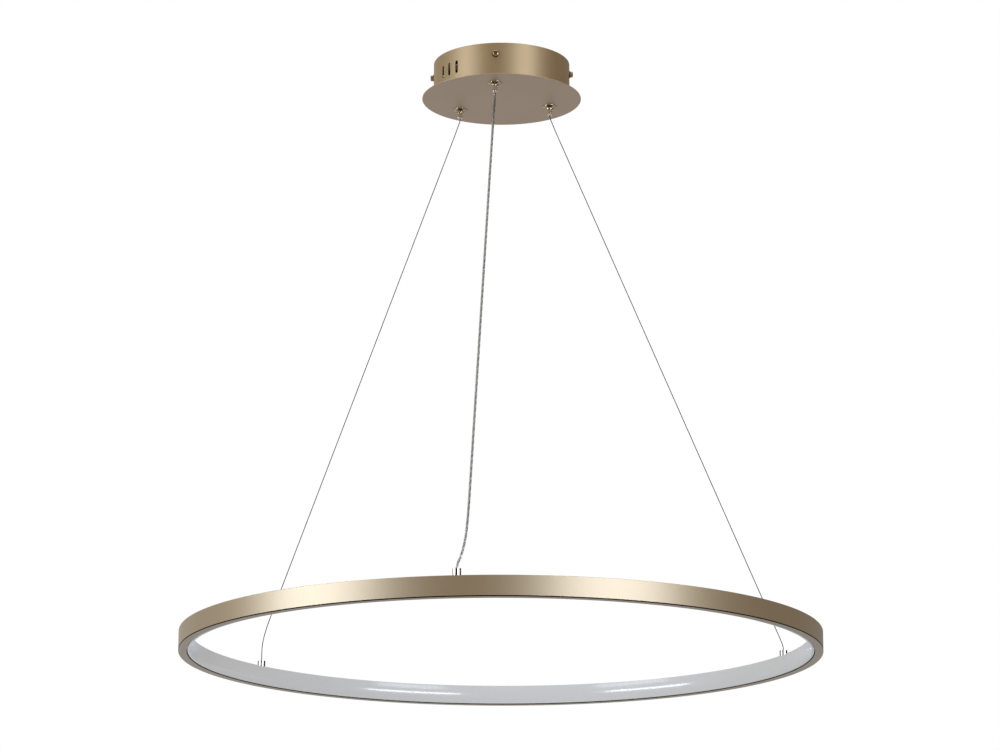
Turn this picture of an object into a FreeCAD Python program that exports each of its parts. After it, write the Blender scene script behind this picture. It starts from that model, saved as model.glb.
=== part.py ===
import FreeCAD, Part

import math
import os

from FreeCAD import Vector

# A ring pendant lamp that hangs from the ceiling on two steel wires and its own power cable.
# Millimetres. The origin is the middle of the ceiling bracket's top face, +Z is up and -Y is the front.
# An azimuth is counted from the front, -Y, towards +X.

# ---- The lamp as a whole
ceiling_z = 0.0
ring_underside_drop = 775.5
hang_turn = -2.4            # the turn of the three hanging points against the canopy's screws
hang_azimuths = {"front": hang_turn, "right": hang_turn + 120.0, "left": hang_turn - 120.0}
screw_azimuths = [0.0, 90.0, 180.0, 270.0]

# ---- Ring: a channel bent from an extrusion, open to the middle, closed by a snap-in diffuser
ring_outer_r = 400.0
ring_height = 25.0
channel_wall = 1.4
flange_width = 10.3
hook_wall = 0.6
hook_drop = 1.6
shadow_groove_height = 0.8
shadow_groove_depth = 0.8
groove_lip = 0.5

diffuser_wall = 1.4
diffuser_reveal = 1.1       # the dark gap between the diffuser's shoulder and the flange's end
diffuser_shoulder = 2.9
diffuser_dome = 1.6         # how far the middle of the face stands in from its edges
snap_gap = 0.2
snap_leg = 1.0
snap_barb = 0.6
snap_barb_rise = 1.0
diffuser_joint_azimuth = 95.0
diffuser_joint_gap = 0.4

strip_width = 10.0
strip_thickness = 0.4
strip_glue = 0.3            # the foam tape that holds the strip to the channel's wall
strip_end_angle = 1.5
chip_count = 72
chip_length = 3.5
chip_height = 2.8
chip_thickness = 0.7
chip_solder = 0.02

# ---- Ring anchors: a turned collar with a hollow stud and a round nut inside the channel
anchor_r = 5.0
anchor_height = 8.6
anchor_edge = 0.6
stud_r = 2.45
stud_hole_gap = 0.1
stud_tail = 0.3             # how far the stud passes the nut
anchor_nut_flats = 5.9
anchor_nut_height = 2.0
thread_gap = 0.02
stop_r = 1.6
stop_height = 3.0
cable_stop_r = 2.8
cable_stop_height = 3.0
cable_end_drop = 3.0        # the bared cable below its stop
lead_r = 0.5
lead_spread = 0.7
lead_run_out = 1.5           # straight out of the cable before the leads part
lead_half_way = 5.0
lead_reach = 12.5

# ---- Hanging wires and the power cable
wire_r = 0.6
cable_r = 1.5
wire_sides = 6              # the cords are prisms with so many flats, their corners on the true circle
cable_sides = 8
arc_share = 0.45            # how much of the shorter run beside it each arc of a cord takes
bore_gap = 0.06             # running clearance of everything that slides in a gripper
entry_gap = 0.1             # round a wire where it enters an anchor

# ---- Canopy: a drawn cup on a wide disc
cup_outer_r = 88.0
cup_wall = 1.0
cup_floor = 1.0
cup_height = 46.0
plate_r = 102.7
plate_thickness = 1.0
slot_length = 17.0
slot_width = 4.5
slot_pitch = 8.9
slots_per_group = 3
slot_group_azimuths = [-45.0, 135.0]
slot_drop = 25.0

# ---- Side screws and the ceiling bracket that they enter
side_screw_drop = 15.0
side_screw_r = 2.0
side_screw_hole_gap = 0.3
side_screw_length = 11.0
side_screw_flange_r = 4.75
side_screw_flange = 1.1
side_screw_knob_r = 3.9
side_screw_knob = 3.7
side_screw_edge = 1.2
bracket_thickness = 1.2
bracket_arm_width = 20.0
bracket_hub_r = 22.0
bracket_hole_r = 10.0
bracket_ear_drop = 22.0
bracket_bend_r = 2.0
bracket_cup_gap = 0.3
ceiling_slot_spacing = 70.0
ceiling_slot_length = 16.0
ceiling_slot_width = 4.6

# ---- Cable grippers, one at each hanging point
gripper_radius = 68.0
gripper_hole_gap = 0.15
barrel_r = 5.0
barrel_height = 20.0
brim_r = 9.0
brim_edge = 0.9
flare_waist_r = 5.9
flare_waist_drop = 2.3
mouth_r = 4.7
mouth_drop = 5.0
nose_r = 3.2
nose_drop = 12.0
nose_edge = 0.6
release_travel = 2.0
release_spare = 0.2
ledge_height = 1.0
ledge_thickness = 1.0
cone_height = 6.0
cone_slope = 1.0 / 6.0
wire_ball_r = 1.2
cable_ball_r = 1.0
ball_count = 3
ball_columns = 8
ball_rows = 6
ball_gap = 0.04
cage_over_ball = 0.38
cage_top = 1.0              # how far the cage stands out of the cone
locknut_flats = 14.0
locknut_height = 4.0
cap_height = 3.0
cap_hole_gap = 0.2
spring_wire_r = 0.3
spring_turns = 4
spring_chords = 10          # straight lengths in one turn
spring_end_gap = 0.06

# ---- Driver and wiring inside the canopy
driver_locknut_gap = 3.3    # between the driver's end and the nearer lock nut
driver_width = 42.0
driver_height = 24.0
driver_middle_y = 13.0
driver_wall = 1.5
driver_pad_thickness = 1.0
driver_pad_margin = 5.0
driver_post = 3.0           # the posts under the board are square
board_thickness = 1.6
board_lift = 3.0
board_side_gap = 0.5
terminal_size = (13.0, 8.0, 8.0)
terminal_gap = 0.5
terminal_inset = {"input": 20.0, "output": 16.0}    # from the driver's right and left ends
transformer_size = (20.0, 18.0, 15.0)
transformer_shift = 5.0
capacitor_r = 4.5
capacitor_height = 14.5
capacitor_insets = [22.0, 11.0]
capacitor_shift = 9.0
choke_r = 7.5
choke_hole_r = 3.5
choke_height = 7.0
choke_inset = 18.0
choke_shift = 8.0
wound_sides = 12            # flats round a can or a winding
block_size = (30.0, 16.0, 14.0)
block_middle = (27.0, -34.0)
block_pitch = 8.5
block_row_pitch = 8.0
block_port_gap = 0.5
block_port_depth = 4.0
block_screw_r = 1.9
block_screw_height = 1.0
block_screw_well = 3.5
earth_screw_x = 62.0
earth_screw_r = 2.0
earth_head_r = 3.6
earth_head_height = 2.2
lug_r = 4.2
lug_thickness = 0.8
lug_barrel_r = 1.6
lug_barrel_length = 6.0
flex_r = 1.1
mains_lead_spread = 3.0     # either side of the middle of the driver's input terminal
mains_lead_straight = 4.5   # straight out of the block and straight into the driver
cable_tail_top = 10.0       # below the ceiling
cable_tail_run_in = 14.0    # straight into the driver

# ---- Levels and radii that follow from the sizes above
ring_bottom_z = ceiling_z - ring_underside_drop
ring_top_z = ring_bottom_z + ring_height
ring_middle_z = ring_bottom_z + ring_height / 2.0
flange_end_r = ring_outer_r - flange_width
anchor_line_r = ring_outer_r - flange_width / 2.0
anchor_top_z = ring_top_z + anchor_height
stud_end_z = ring_top_z - channel_wall - anchor_nut_height - stud_tail
cup_floor_z = ceiling_z - cup_height + cup_floor
plate_top_z = ceiling_z - cup_height
plate_bottom_z = plate_top_z - plate_thickness
nose_tip_z = plate_bottom_z - nose_drop
shoulder_r = flange_end_r - diffuser_reveal
strip_back_r = ring_outer_r - channel_wall - strip_glue
strip_face_r = strip_back_r - strip_thickness
cup_inner_r = cup_outer_r - cup_wall
wall_cutter = 3.0 * cup_wall          # a cutter through the wall starts and ends one wall clear of it
locknut_corner_r = locknut_flats / 2.0 / math.cos(math.pi / 6.0)
nearer_gripper_x = min(gripper_radius * abs(math.sin(math.radians(hang_azimuths[side])))
                       for side in ("left", "right"))
driver_half_x = nearer_gripper_x - locknut_corner_r - driver_locknut_gap
driver_bottom_z = cup_floor_z + driver_pad_thickness
driver_top_z = driver_bottom_z + driver_height
driver_front_y = driver_middle_y - driver_width / 2.0
board_low_z = driver_bottom_z + driver_wall + board_lift
board_top_z = board_low_z + board_thickness
terminal_z = board_top_z + terminal_size[2] / 2.0
terminal_x = {"input": driver_half_x - terminal_inset["input"],
              "output": terminal_inset["output"] - driver_half_x}
block_poles = [block_middle[0] - block_pitch, block_middle[0], block_middle[0] + block_pitch]
block_back_y = block_middle[1] + block_size[1] / 2.0
block_port_z = cup_floor_z + block_size[2] / 2.0

# ---- Routes of the free cords: radius from the axis, sideways offset and height below the ceiling
wire_route = {
    "left": [(68.0, 0.0, -59.0), (68.0, 0.0, -62.5), (71.2, 0.0, -69.0), (79.2, 0.0, -85.6),
             (382.5, 0.0, -688.5), (389.6, 0.0, -704.5), (394.0, 0.0, -719.0), (394.85, 0.0, -731.0),
             (394.85, 0.0, -741.9)],
    "right": [(68.0, 0.0, -59.0), (68.0, 0.0, -62.5), (71.0, 0.0, -69.0), (78.6, 0.0, -85.6),
              (388.6, 0.0, -723.1), (392.4, 0.0, -731.2), (394.85, 0.0, -738.0), (394.85, 0.0, -741.9)],
    "front": [(68.0, 0.0, -59.0), (68.0, 0.0, -66.0), (71.8, 0.0, -76.0), (80.0, 0.0, -92.5),
              (370.0, 10.0, -664.0), (382.5, 10.0, -688.5), (390.5, 8.8, -709.0), (394.3, 5.0, -727.0),
              (394.85, 0.0, -737.6), (394.85, 0.0, -741.9)],
}

# ---- Routes of the cords inside the canopy
# A wire's tail, as steps from the gripper's axis outwards and sideways, and its height below the ceiling
wire_tail_route = [(0.0, 0.0, nose_tip_z), (0.0, 0.0, -13.0), (0.0, 19.0, -14.0), (-2.0, 36.0, -21.0)]
# The power cable's tail between its gripper and the driver
cable_tail_bends = [(-13.0, -52.0, -12.0), (-27.0, -32.0, -20.0)]
# The earth lead, as steps from the terminal block's port and from the lug's barrel
earth_lead_out = [(0.0, 5.0, 0.0), (12.0, 9.0, 5.0)]
earth_lead_in = [(1.0, -11.8, -10.8), (0.0, -7.3, 0.0)]

nodes = {}


def keep(name, *solids):
    """Files the solids of one sub-part under its name."""
    nodes.setdefault(name, []).extend(solids)


def place(radius, azimuth, z, sideways=0.0):
    """A point at a radius and an azimuth; sideways is along the circle, towards a larger azimuth."""
    turn = math.radians(azimuth)
    return Vector(radius * math.sin(turn) + sideways * math.cos(turn),
                  -radius * math.cos(turn) + sideways * math.sin(turn), z)


def stand_at(solid, radius, azimuth, z=0.0):
    """Moves a solid that was made about the Z axis, its -Y side outwards, to a place on a circle."""
    solid.rotate(Vector(0, 0, 0), Vector(0, 0, 1), azimuth)
    solid.translate(place(radius, azimuth, z))
    return solid


def in_section(point):
    """A (radius, height) pair as a point of the XZ plane."""
    return Vector(point[0], 0, point[1])


def section_face(outline):
    """A face in the XZ plane from (radius, height) pairs, some of its steps arcs made by arc_to."""
    edges = []
    start = outline[0]
    for step in outline[1:] + [outline[0]]:
        if len(step) == 3:
            middle, end = step[:2]
            edges.append(Part.Arc(in_section(start), in_section(middle), in_section(end)).toShape())
            start = end
        elif step != start:
            edges.append(Part.LineSegment(in_section(start), in_section(step)).toShape())
            start = step
    return Part.Face(Part.Wire(edges))


def turned(outline, sweep=360.0, from_azimuth=0.0):
    """A solid of revolution about Z from (radius, height) points."""
    face = section_face(outline)
    face.rotate(Vector(0, 0, 0), Vector(0, 0, 1), from_azimuth - 90.0)
    return face.revolve(Vector(0, 0, 0), Vector(0, 0, 1), sweep)


def arc_to(middle, end):
    """One arc step of an outline, through a middle point."""
    return (middle, end, "arc")


def round_corner(corner, radius, before, after):
    """The steps that round a square corner of an outline; before and after point away from it."""
    from_corner = 1.0 - math.sqrt(0.5)
    enter = (corner[0] + before[0] * radius, corner[1] + before[1] * radius)
    middle = (corner[0] + (before[0] + after[0]) * radius * from_corner,
              corner[1] + (before[1] + after[1]) * radius * from_corner)
    leave = (corner[0] + after[0] * radius, corner[1] + after[1] * radius)
    return [enter, arc_to(middle, leave)]


def rod(radius, low, high, at=Vector(0, 0, 0)):
    return Part.makeCylinder(radius, high - low, Vector(at.x, at.y, low))


def tube(outer, inner, low, high, at=Vector(0, 0, 0)):
    return rod(outer, low, high, at).cut(rod(inner, low, high, at))


def block(low, high):
    """A box from its lowest and highest corners."""
    return Part.makeBox(high[0] - low[0], high[1] - low[1], high[2] - low[2], Vector(*low))


def flat_sided(sides, corner_r, centre, along, from_direction):
    """A closed outline with equal sides about a line, its first corner in a given direction."""
    across = along.cross(from_direction)
    points = []
    for number in range(sides):
        turn = 2.0 * math.pi * number / sides
        outwards = from_direction * math.cos(turn) + across * math.sin(turn)
        points.append(centre + outwards * corner_r)
    return Part.makePolygon(points + [points[0]])


def prism(sides, corner_r, low, high, at=Vector(0, 0, 0)):
    """An upright prism with its corners on a circle."""
    outline = flat_sided(sides, corner_r, Vector(at.x, at.y, low), Vector(0, 0, 1), Vector(1, 0, 0))
    return Part.Face(outline).extrude(Vector(0, 0, high - low))


def hexagon(flats, low, high, at=Vector(0, 0, 0)):
    return prism(6, flats / 2.0 / math.cos(math.pi / 6.0), low, high, at)


def cord_tube(name, points, radius, sides=wire_sides):
    """A cord along straight runs joined by tangent arcs, each arc as large as its two runs allow."""
    edges = []
    radii = []
    start = points[0]
    for before, corner, after in zip(points, points[1:], points[2:]):
        back = (before - corner).normalize()
        ahead = (after - corner).normalize()
        turn = math.pi - back.getAngle(ahead)
        shorter = min((before - corner).Length, (after - corner).Length)
        setback = arc_share * shorter
        arc_radius = setback / math.tan(turn / 2.0)
        radii.append(round(arc_radius, 1))
        enter = corner + back * setback
        leave = corner + ahead * setback
        inwards = (back + ahead).normalize()
        centre = corner + inwards * math.hypot(setback, arc_radius)
        middle = centre - inwards * arc_radius
        edges.append(Part.LineSegment(start, enter).toShape())
        edges.append(Part.Arc(enter, middle, leave).toShape())
        start = leave
    edges.append(Part.LineSegment(start, points[-1]).toShape())
    path = Part.Wire(edges)
    along = (points[1] - points[0]).normalize()
    other_axis = Vector(1, 0, 0) if abs(along.y) > abs(along.x) else Vector(0, 1, 0)
    mouth = flat_sided(sides, radius, points[0], along, along.cross(other_axis).normalize())
    solid = path.makePipeShell([mouth], True, False)
    expected = Part.Face(mouth).Area * path.Length
    print(name, "length", round(path.Length, 1), "radii", radii,
          "volume against section times length", round(solid.Volume / expected, 4))
    return solid


def ring_profile():
    """The channel: outer wall with a shadow groove, two flanges with hooks for the diffuser."""
    top = ring_top_z
    low = ring_bottom_z
    inner = ring_outer_r - channel_wall
    groove_low = low + groove_lip
    groove_high = groove_low + shadow_groove_height
    groove_r = ring_outer_r - shadow_groove_depth
    hook_r = flange_end_r + hook_wall
    hook_tip = channel_wall + hook_drop
    solid = turned([
        (ring_outer_r, top), (ring_outer_r, groove_high), (groove_r, groove_high), (groove_r, groove_low),
        (ring_outer_r, groove_low), (ring_outer_r, low), (flange_end_r, low), (flange_end_r, low + hook_tip),
        (hook_r, low + hook_tip), (hook_r, low + channel_wall), (inner, low + channel_wall),
        (inner, top - channel_wall), (hook_r, top - channel_wall), (hook_r, top - hook_tip),
        (flange_end_r, top - hook_tip), (flange_end_r, top)])
    for azimuth in hang_azimuths.values():
        spot = place(anchor_line_r, azimuth, 0)
        solid = solid.cut(rod(stud_r + stud_hole_gap, top - channel_wall, top, spot))
    keep("ring_profile", solid)


def diffuser():
    """The snap-in strip: a domed face with thick shoulders and a barbed leg behind each flange's hook."""
    top = ring_top_z
    low = ring_bottom_z
    face_r = shoulder_r - diffuser_shoulder
    back_r = face_r + diffuser_wall
    barb_r = flange_end_r + hook_wall + snap_gap
    leg_top = channel_wall + hook_drop + snap_gap
    leg_low = leg_top + snap_leg
    barb_top = leg_top - snap_barb_rise
    barb_end = barb_r + snap_barb
    joint = math.degrees(diffuser_joint_gap / face_r)
    outline = [
        (face_r, top), (shoulder_r, top), (shoulder_r, top - leg_top), (barb_r, top - leg_top),
        (barb_r, top - barb_top), (barb_end, top - barb_top), (barb_end, top - leg_low),
        (back_r, top - leg_low), arc_to((back_r - diffuser_dome, ring_middle_z), (back_r, low + leg_low)),
        (barb_end, low + leg_low), (barb_end, low + barb_top), (barb_r, low + barb_top),
        (barb_r, low + leg_top), (shoulder_r, low + leg_top), (shoulder_r, low), (face_r, low),
        arc_to((face_r - diffuser_dome, ring_middle_z), (face_r, top))]
    keep("diffuser", turned(outline, 360.0 - joint, diffuser_joint_azimuth + joint / 2.0))


def lights():
    """The flexible strip glued round the channel's outer wall, and its light-emitting chips."""
    half = strip_width / 2.0
    feed = hang_azimuths["front"]
    sweep = 360.0 - 2.0 * strip_end_angle
    keep("led_strip", turned([
        (strip_face_r, ring_middle_z - half), (strip_back_r, ring_middle_z - half),
        (strip_back_r, ring_middle_z + half), (strip_face_r, ring_middle_z + half)],
        sweep, feed + strip_end_angle))
    pitch = sweep / chip_count
    for number in range(chip_count):
        azimuth = feed + strip_end_angle + pitch * (number + 0.5)
        chip = block((-chip_length / 2.0, chip_solder, -chip_height / 2.0),
                     (chip_length / 2.0, chip_solder + chip_thickness, chip_height / 2.0))
        keep("led_chips", stand_at(chip, strip_face_r, azimuth, ring_middle_z))


def ring_anchor(azimuth, cord_r):
    """One hanging point on the ring: the collar with its stud, and the nut below the flange."""
    bore = cord_r + entry_gap
    flange_bottom = ring_top_z - channel_wall
    collar = turned([
        (bore, stud_end_z), (stud_r, stud_end_z), (stud_r, ring_top_z), (anchor_r, ring_top_z),
        (anchor_r, anchor_top_z - anchor_edge), (anchor_r - anchor_edge, anchor_top_z),
        (bore, anchor_top_z)])
    keep("ring_anchors", stand_at(collar, anchor_line_r, azimuth))
    spot = place(anchor_line_r, azimuth, 0)
    nut_low = flange_bottom - anchor_nut_height
    nut = hexagon(anchor_nut_flats, nut_low, flange_bottom, spot)
    keep("anchor_nuts", nut.cut(rod(stud_r + thread_gap, nut_low, flange_bottom, spot)))


def wire_stop(azimuth):
    """The end of a steel wire inside its anchor, with the crimped stop that carries the ring."""
    stop = prism(wire_sides, stop_r, stud_end_z - stop_height, stud_end_z)
    wire_end = prism(wire_sides, wire_r, stud_end_z, anchor_top_z)
    keep("wire_stops", stand_at(stop.fuse(wire_end), anchor_line_r, azimuth))


def cable_stop(azimuth):
    """The end of the power cable in the ring: its crimped stop, and two leads to the strip's ends."""
    stop_low = stud_end_z - cable_stop_height
    end_z = stop_low - cable_end_drop
    stop = prism(cable_sides, cable_stop_r, stop_low, stud_end_z)
    bared_end = prism(cable_sides, cable_r, end_z, stop_low)
    cable_end = prism(cable_sides, cable_r, stud_end_z, anchor_top_z)
    keep("cable_stop", stand_at(stop.fuse(bared_end).fuse(cable_end), anchor_line_r, azimuth))
    for hand in (-1.0, 1.0):
        route = [place(anchor_line_r, azimuth, end_z, lead_spread * hand),
                 place(anchor_line_r, azimuth, end_z - lead_run_out, lead_spread * hand),
                 place(anchor_line_r + lead_r, azimuth, ring_middle_z + lead_r, lead_half_way * hand),
                 place(strip_face_r - 2.0 * lead_r, azimuth, ring_middle_z, lead_reach * hand)]
        keep("feed_leads", cord_tube("feed lead", route, lead_r))


def free_cord(side, radius, sides):
    """The stretch between a gripper's nose and its anchor."""
    azimuth = hang_azimuths[side]
    name = "power_cable" if side == "front" else "wire_" + side
    points = [place(out, azimuth, z, sideways) for out, sideways, z in wire_route[side]]
    keep(name, cord_tube(name, points, radius, sides))


def canopy_cup():
    """The drawn cup: open to the ceiling, vents in its wall, holes for the side screws and the grippers."""
    low = plate_top_z
    floor = cup_floor_z
    cup = turned([(0, low), (cup_outer_r, low), (cup_outer_r, ceiling_z), (cup_inner_r, ceiling_z),
                  (cup_inner_r, floor), (0, floor)])
    for azimuth in hang_azimuths.values():
        cup = cup.cut(rod(barrel_r + gripper_hole_gap, low, floor, place(gripper_radius, azimuth, 0)))
    for azimuth in screw_azimuths:
        start = place(cup_inner_r - cup_wall, azimuth, ceiling_z - side_screw_drop)
        outwards = place(1.0, azimuth, 0)
        cup = cup.cut(Part.makeCylinder(side_screw_r + side_screw_hole_gap, wall_cutter, start, outwards))
    for group in slot_group_azimuths:
        for number in range(slots_per_group):
            cup = cup.cut(vent_slot(group + (number - (slots_per_group - 1) / 2.0) * slot_pitch))
    keep("canopy_cup", cup)


def vent_slot(azimuth):
    """The cutter for one upright slot with round ends."""
    half = slot_width / 2.0
    straight = slot_length / 2.0 - half
    start_r = cup_inner_r - cup_wall
    middle_z = ceiling_z - slot_drop
    cutter = block((-half, -wall_cutter, -straight), (half, 0, straight))
    cutter = stand_at(cutter, start_r, azimuth, middle_z)
    for end in (-straight, straight):
        start = place(start_r, azimuth, middle_z + end)
        cutter = cutter.fuse(Part.makeCylinder(half, wall_cutter, start, place(1.0, azimuth, 0)))
    return cutter


def canopy_plate():
    """The flat disc below the cup, clamped to it by the three grippers."""
    plate = rod(plate_r, plate_bottom_z, plate_top_z)
    for azimuth in hang_azimuths.values():
        plate = plate.cut(rod(barrel_r + gripper_hole_gap, plate_bottom_z, plate_top_z,
                              place(gripper_radius, azimuth, 0)))
    keep("canopy_plate", plate)


def bracket_ear_face():
    """How far out an ear's outer face lies, so that its corners clear the cup's wall."""
    return math.sqrt(cup_inner_r ** 2 - (bracket_arm_width / 2.0) ** 2) - bracket_cup_gap


def ceiling_bracket():
    """The pressed cross: four arms with ears bent down, slots for the ceiling screws, a mains hole."""
    low = ceiling_z - bracket_thickness
    reach = bracket_ear_face()
    ear_low = ceiling_z - bracket_ear_drop
    ear_cutter = 3.0 * bracket_thickness
    inner_reach = reach - bracket_thickness
    outline = [(0, low)]
    outline += round_corner((inner_reach, low), bracket_bend_r - bracket_thickness, (-1, 0), (0, -1))
    outline += [(inner_reach, ear_low), (reach, ear_low)]
    outline += round_corner((reach, ceiling_z), bracket_bend_r, (0, -1), (-1, 0))
    outline += [(0, ceiling_z)]
    bracket = rod(bracket_hub_r, low, ceiling_z)
    for azimuth in screw_azimuths:
        arm = section_face(outline)
        arm.translate(Vector(0, -bracket_arm_width / 2.0, 0))
        arm = arm.extrude(Vector(0, bracket_arm_width, 0))
        arm.rotate(Vector(0, 0, 0), Vector(0, 0, 1), azimuth - 90.0)
        bracket = bracket.fuse(arm)
    bracket = bracket.removeSplitter()
    bracket = bracket.cut(rod(bracket_hole_r, low, ceiling_z))
    for azimuth in screw_azimuths:
        start = place(reach - 2.0 * bracket_thickness, azimuth, ceiling_z - side_screw_drop)
        outwards = place(1.0, azimuth, 0)
        hole = Part.makeCylinder(side_screw_r + thread_gap, ear_cutter, start, outwards)
        bracket = bracket.cut(hole).cut(ceiling_slot(azimuth))
    earth_hole = rod(earth_screw_r + thread_gap, low, ceiling_z, Vector(earth_screw_x, 0, 0))
    keep("ceiling_bracket", bracket.cut(earth_hole))


def ceiling_slot(azimuth):
    """The cutter for one slot that runs along its arm."""
    half = ceiling_slot_width / 2.0
    straight = ceiling_slot_length / 2.0 - half
    low = ceiling_z - bracket_thickness
    cutter = block((-half, -straight, low), (half, straight, ceiling_z))
    for end in (-straight, straight):
        cutter = cutter.fuse(rod(half, low, ceiling_z, Vector(0, end, 0)))
    return stand_at(cutter, ceiling_slot_spacing / 2.0, azimuth)


def side_screws():
    """The four knob screws that hold the cup to the bracket's ears."""
    knob_start = side_screw_flange
    knob_end = knob_start + side_screw_knob
    inwards = -side_screw_length
    seat = thread_gap
    for azimuth in screw_azimuths:
        screw = turned([
            (0, inwards), (side_screw_r, inwards), (side_screw_r, seat), (side_screw_flange_r, seat),
            (side_screw_flange_r, knob_start), (side_screw_knob_r, knob_start),
            (side_screw_knob_r, knob_end - side_screw_edge), (side_screw_knob_r - side_screw_edge, knob_end),
            (0, knob_end)])
        screw.rotate(Vector(0, 0, 0), Vector(1, 0, 0), 90.0)
        keep("side_screws", stand_at(screw, cup_outer_r, azimuth, ceiling_z - side_screw_drop))


def gripper(side, azimuth, cord_r, ball_r):
    """One ball gripper: pushing its nose up lifts the balls out of the cone and frees the cord."""
    base = plate_bottom_z
    ball_line = cord_r + ball_r + ball_gap / 2.0
    cage_r = ball_line + cage_over_ball
    cage_bore = cord_r + bore_gap
    ledge_z = base + ledge_height
    cone_z = ledge_z + ledge_thickness
    ball_z = cone_z + cone_height / 2.0
    cone_at_ball = ball_line + (ball_r + ball_gap) * math.hypot(1.0, cone_slope)
    cone_low_r = cone_at_ball - cone_height / 2.0 * cone_slope
    chamber_r = cone_at_ball + cone_height / 2.0 * cone_slope
    barrel_top = base + barrel_height
    mouth_z = base - mouth_drop

    housing = turned([
        (nose_r + bore_gap, mouth_z), (mouth_r, mouth_z), (flare_waist_r, base - flare_waist_drop),
        (brim_r, base - brim_edge), (brim_r, base), (barrel_r, base), (barrel_r, barrel_top),
        (chamber_r, barrel_top), (chamber_r, cone_z + cone_height), (cone_low_r, cone_z),
        (cage_r + bore_gap, cone_z), (cage_r + bore_gap, ledge_z), (nose_r + bore_gap, ledge_z)])
    keep("gripper_housings", stand_at(housing, gripper_radius, azimuth))

    shoulder_z = ledge_z - release_travel - release_spare
    head_top = cone_z + cone_height + cage_top
    plunger = turned([
        (cage_bore, nose_tip_z), (nose_r - nose_edge, nose_tip_z), (nose_r, nose_tip_z + nose_edge),
        (nose_r, shoulder_z), (cage_r, shoulder_z), (cage_r, head_top), (cage_bore, head_top)])
    reach = ball_r + bore_gap
    for number in range(ball_count):
        turn = 360.0 / ball_count * number
        window = block((-reach, -2.0 * cage_r, -reach), (reach, 0, reach))
        plunger = plunger.cut(stand_at(window, 0, turn, ball_z))
        keep("gripper_balls_" + side, stand_at(stand_at(ball(ball_r), ball_line, turn, ball_z),
                                               gripper_radius, azimuth))
    keep("gripper_plunger_" + side, stand_at(plunger, gripper_radius, azimuth))

    spring_low = head_top + spring_end_gap + spring_wire_r
    spring_high = barrel_top - cap_height - spring_end_gap - spring_wire_r
    spring = coil_spring(cage_r - spring_wire_r, spring_low, spring_high)
    keep("gripper_spring_" + side, stand_at(spring, gripper_radius, azimuth))

    plug = tube(chamber_r - thread_gap, cord_r + cap_hole_gap, barrel_top - cap_height, barrel_top)
    keep("gripper_caps", stand_at(plug, gripper_radius, azimuth))

    nut = hexagon(locknut_flats, cup_floor_z, cup_floor_z + locknut_height)
    nut = nut.cut(rod(barrel_r + thread_gap, cup_floor_z, cup_floor_z + locknut_height))
    keep("gripper_locknuts", stand_at(nut, gripper_radius, azimuth))


def ball(radius):
    """A small ball as a shell of flat faces, its corners on the true ball."""
    rows = []
    for row in range(ball_rows + 1):
        tilt = math.pi * row / ball_rows
        row_r = radius * math.sin(tilt)
        row_z = radius * math.cos(tilt)
        turns = [2.0 * math.pi * column / ball_columns for column in range(ball_columns + 1)]
        rows.append([Vector(row_r * math.cos(turn), row_r * math.sin(turn), row_z) for turn in turns])
    faces = []
    for number, (upper, lower) in enumerate(zip(rows, rows[1:])):
        for column in range(ball_columns):
            corners = [upper[column], lower[column], lower[column + 1], upper[column + 1]]
            if number == 0:
                corners.pop()
            elif number == ball_rows - 1:
                corners.pop(2)
            faces.append(Part.Face(Part.makePolygon(corners + [corners[0]])))
    return Part.makeSolid(Part.makeShell(faces))


def coil_spring(coil_r, low, high):
    """A compression spring of square wire, each turn bent from short straight lengths."""
    count = spring_turns * spring_chords
    points = []
    for number in range(count + 1):
        turn = 2.0 * math.pi * number / spring_chords
        climbed = (high - low) * number / count
        points.append(Vector(coil_r * math.cos(turn), coil_r * math.sin(turn), low + climbed))
    along = (points[1] - points[0]).normalize()
    upwards = Vector(0, 0, 1)
    corner = (upwards - along * upwards.dot(along)).normalize()
    right_corners = 1
    section = flat_sided(4, spring_wire_r, points[0], along, corner)
    return Part.makePolygon(points).makePipeShell([section], True, False, right_corners)


def wire_tail(side):
    """The spare end of a wire: up through its gripper, then along inside the canopy."""
    azimuth = hang_azimuths[side]
    points = [place(gripper_radius + outwards, azimuth, z, sideways)
              for outwards, sideways, z in wire_tail_route]
    keep("wire_tails", cord_tube("wire tail " + side, points, wire_r))


def cable_tail():
    """The power cable's end: up through the front gripper and over into the driver's output terminal."""
    foot = place(gripper_radius, hang_azimuths["front"], nose_tip_z)
    socket = Vector(terminal_x["output"], driver_front_y, terminal_z)
    route = [foot, Vector(foot.x, foot.y, ceiling_z - cable_tail_top)]
    route += [Vector(*bend) for bend in cable_tail_bends]
    route += [socket - Vector(0, cable_tail_run_in, 0), socket]
    keep("cable_tail", cord_tube("cable tail", route, cable_r, cable_sides))


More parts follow.
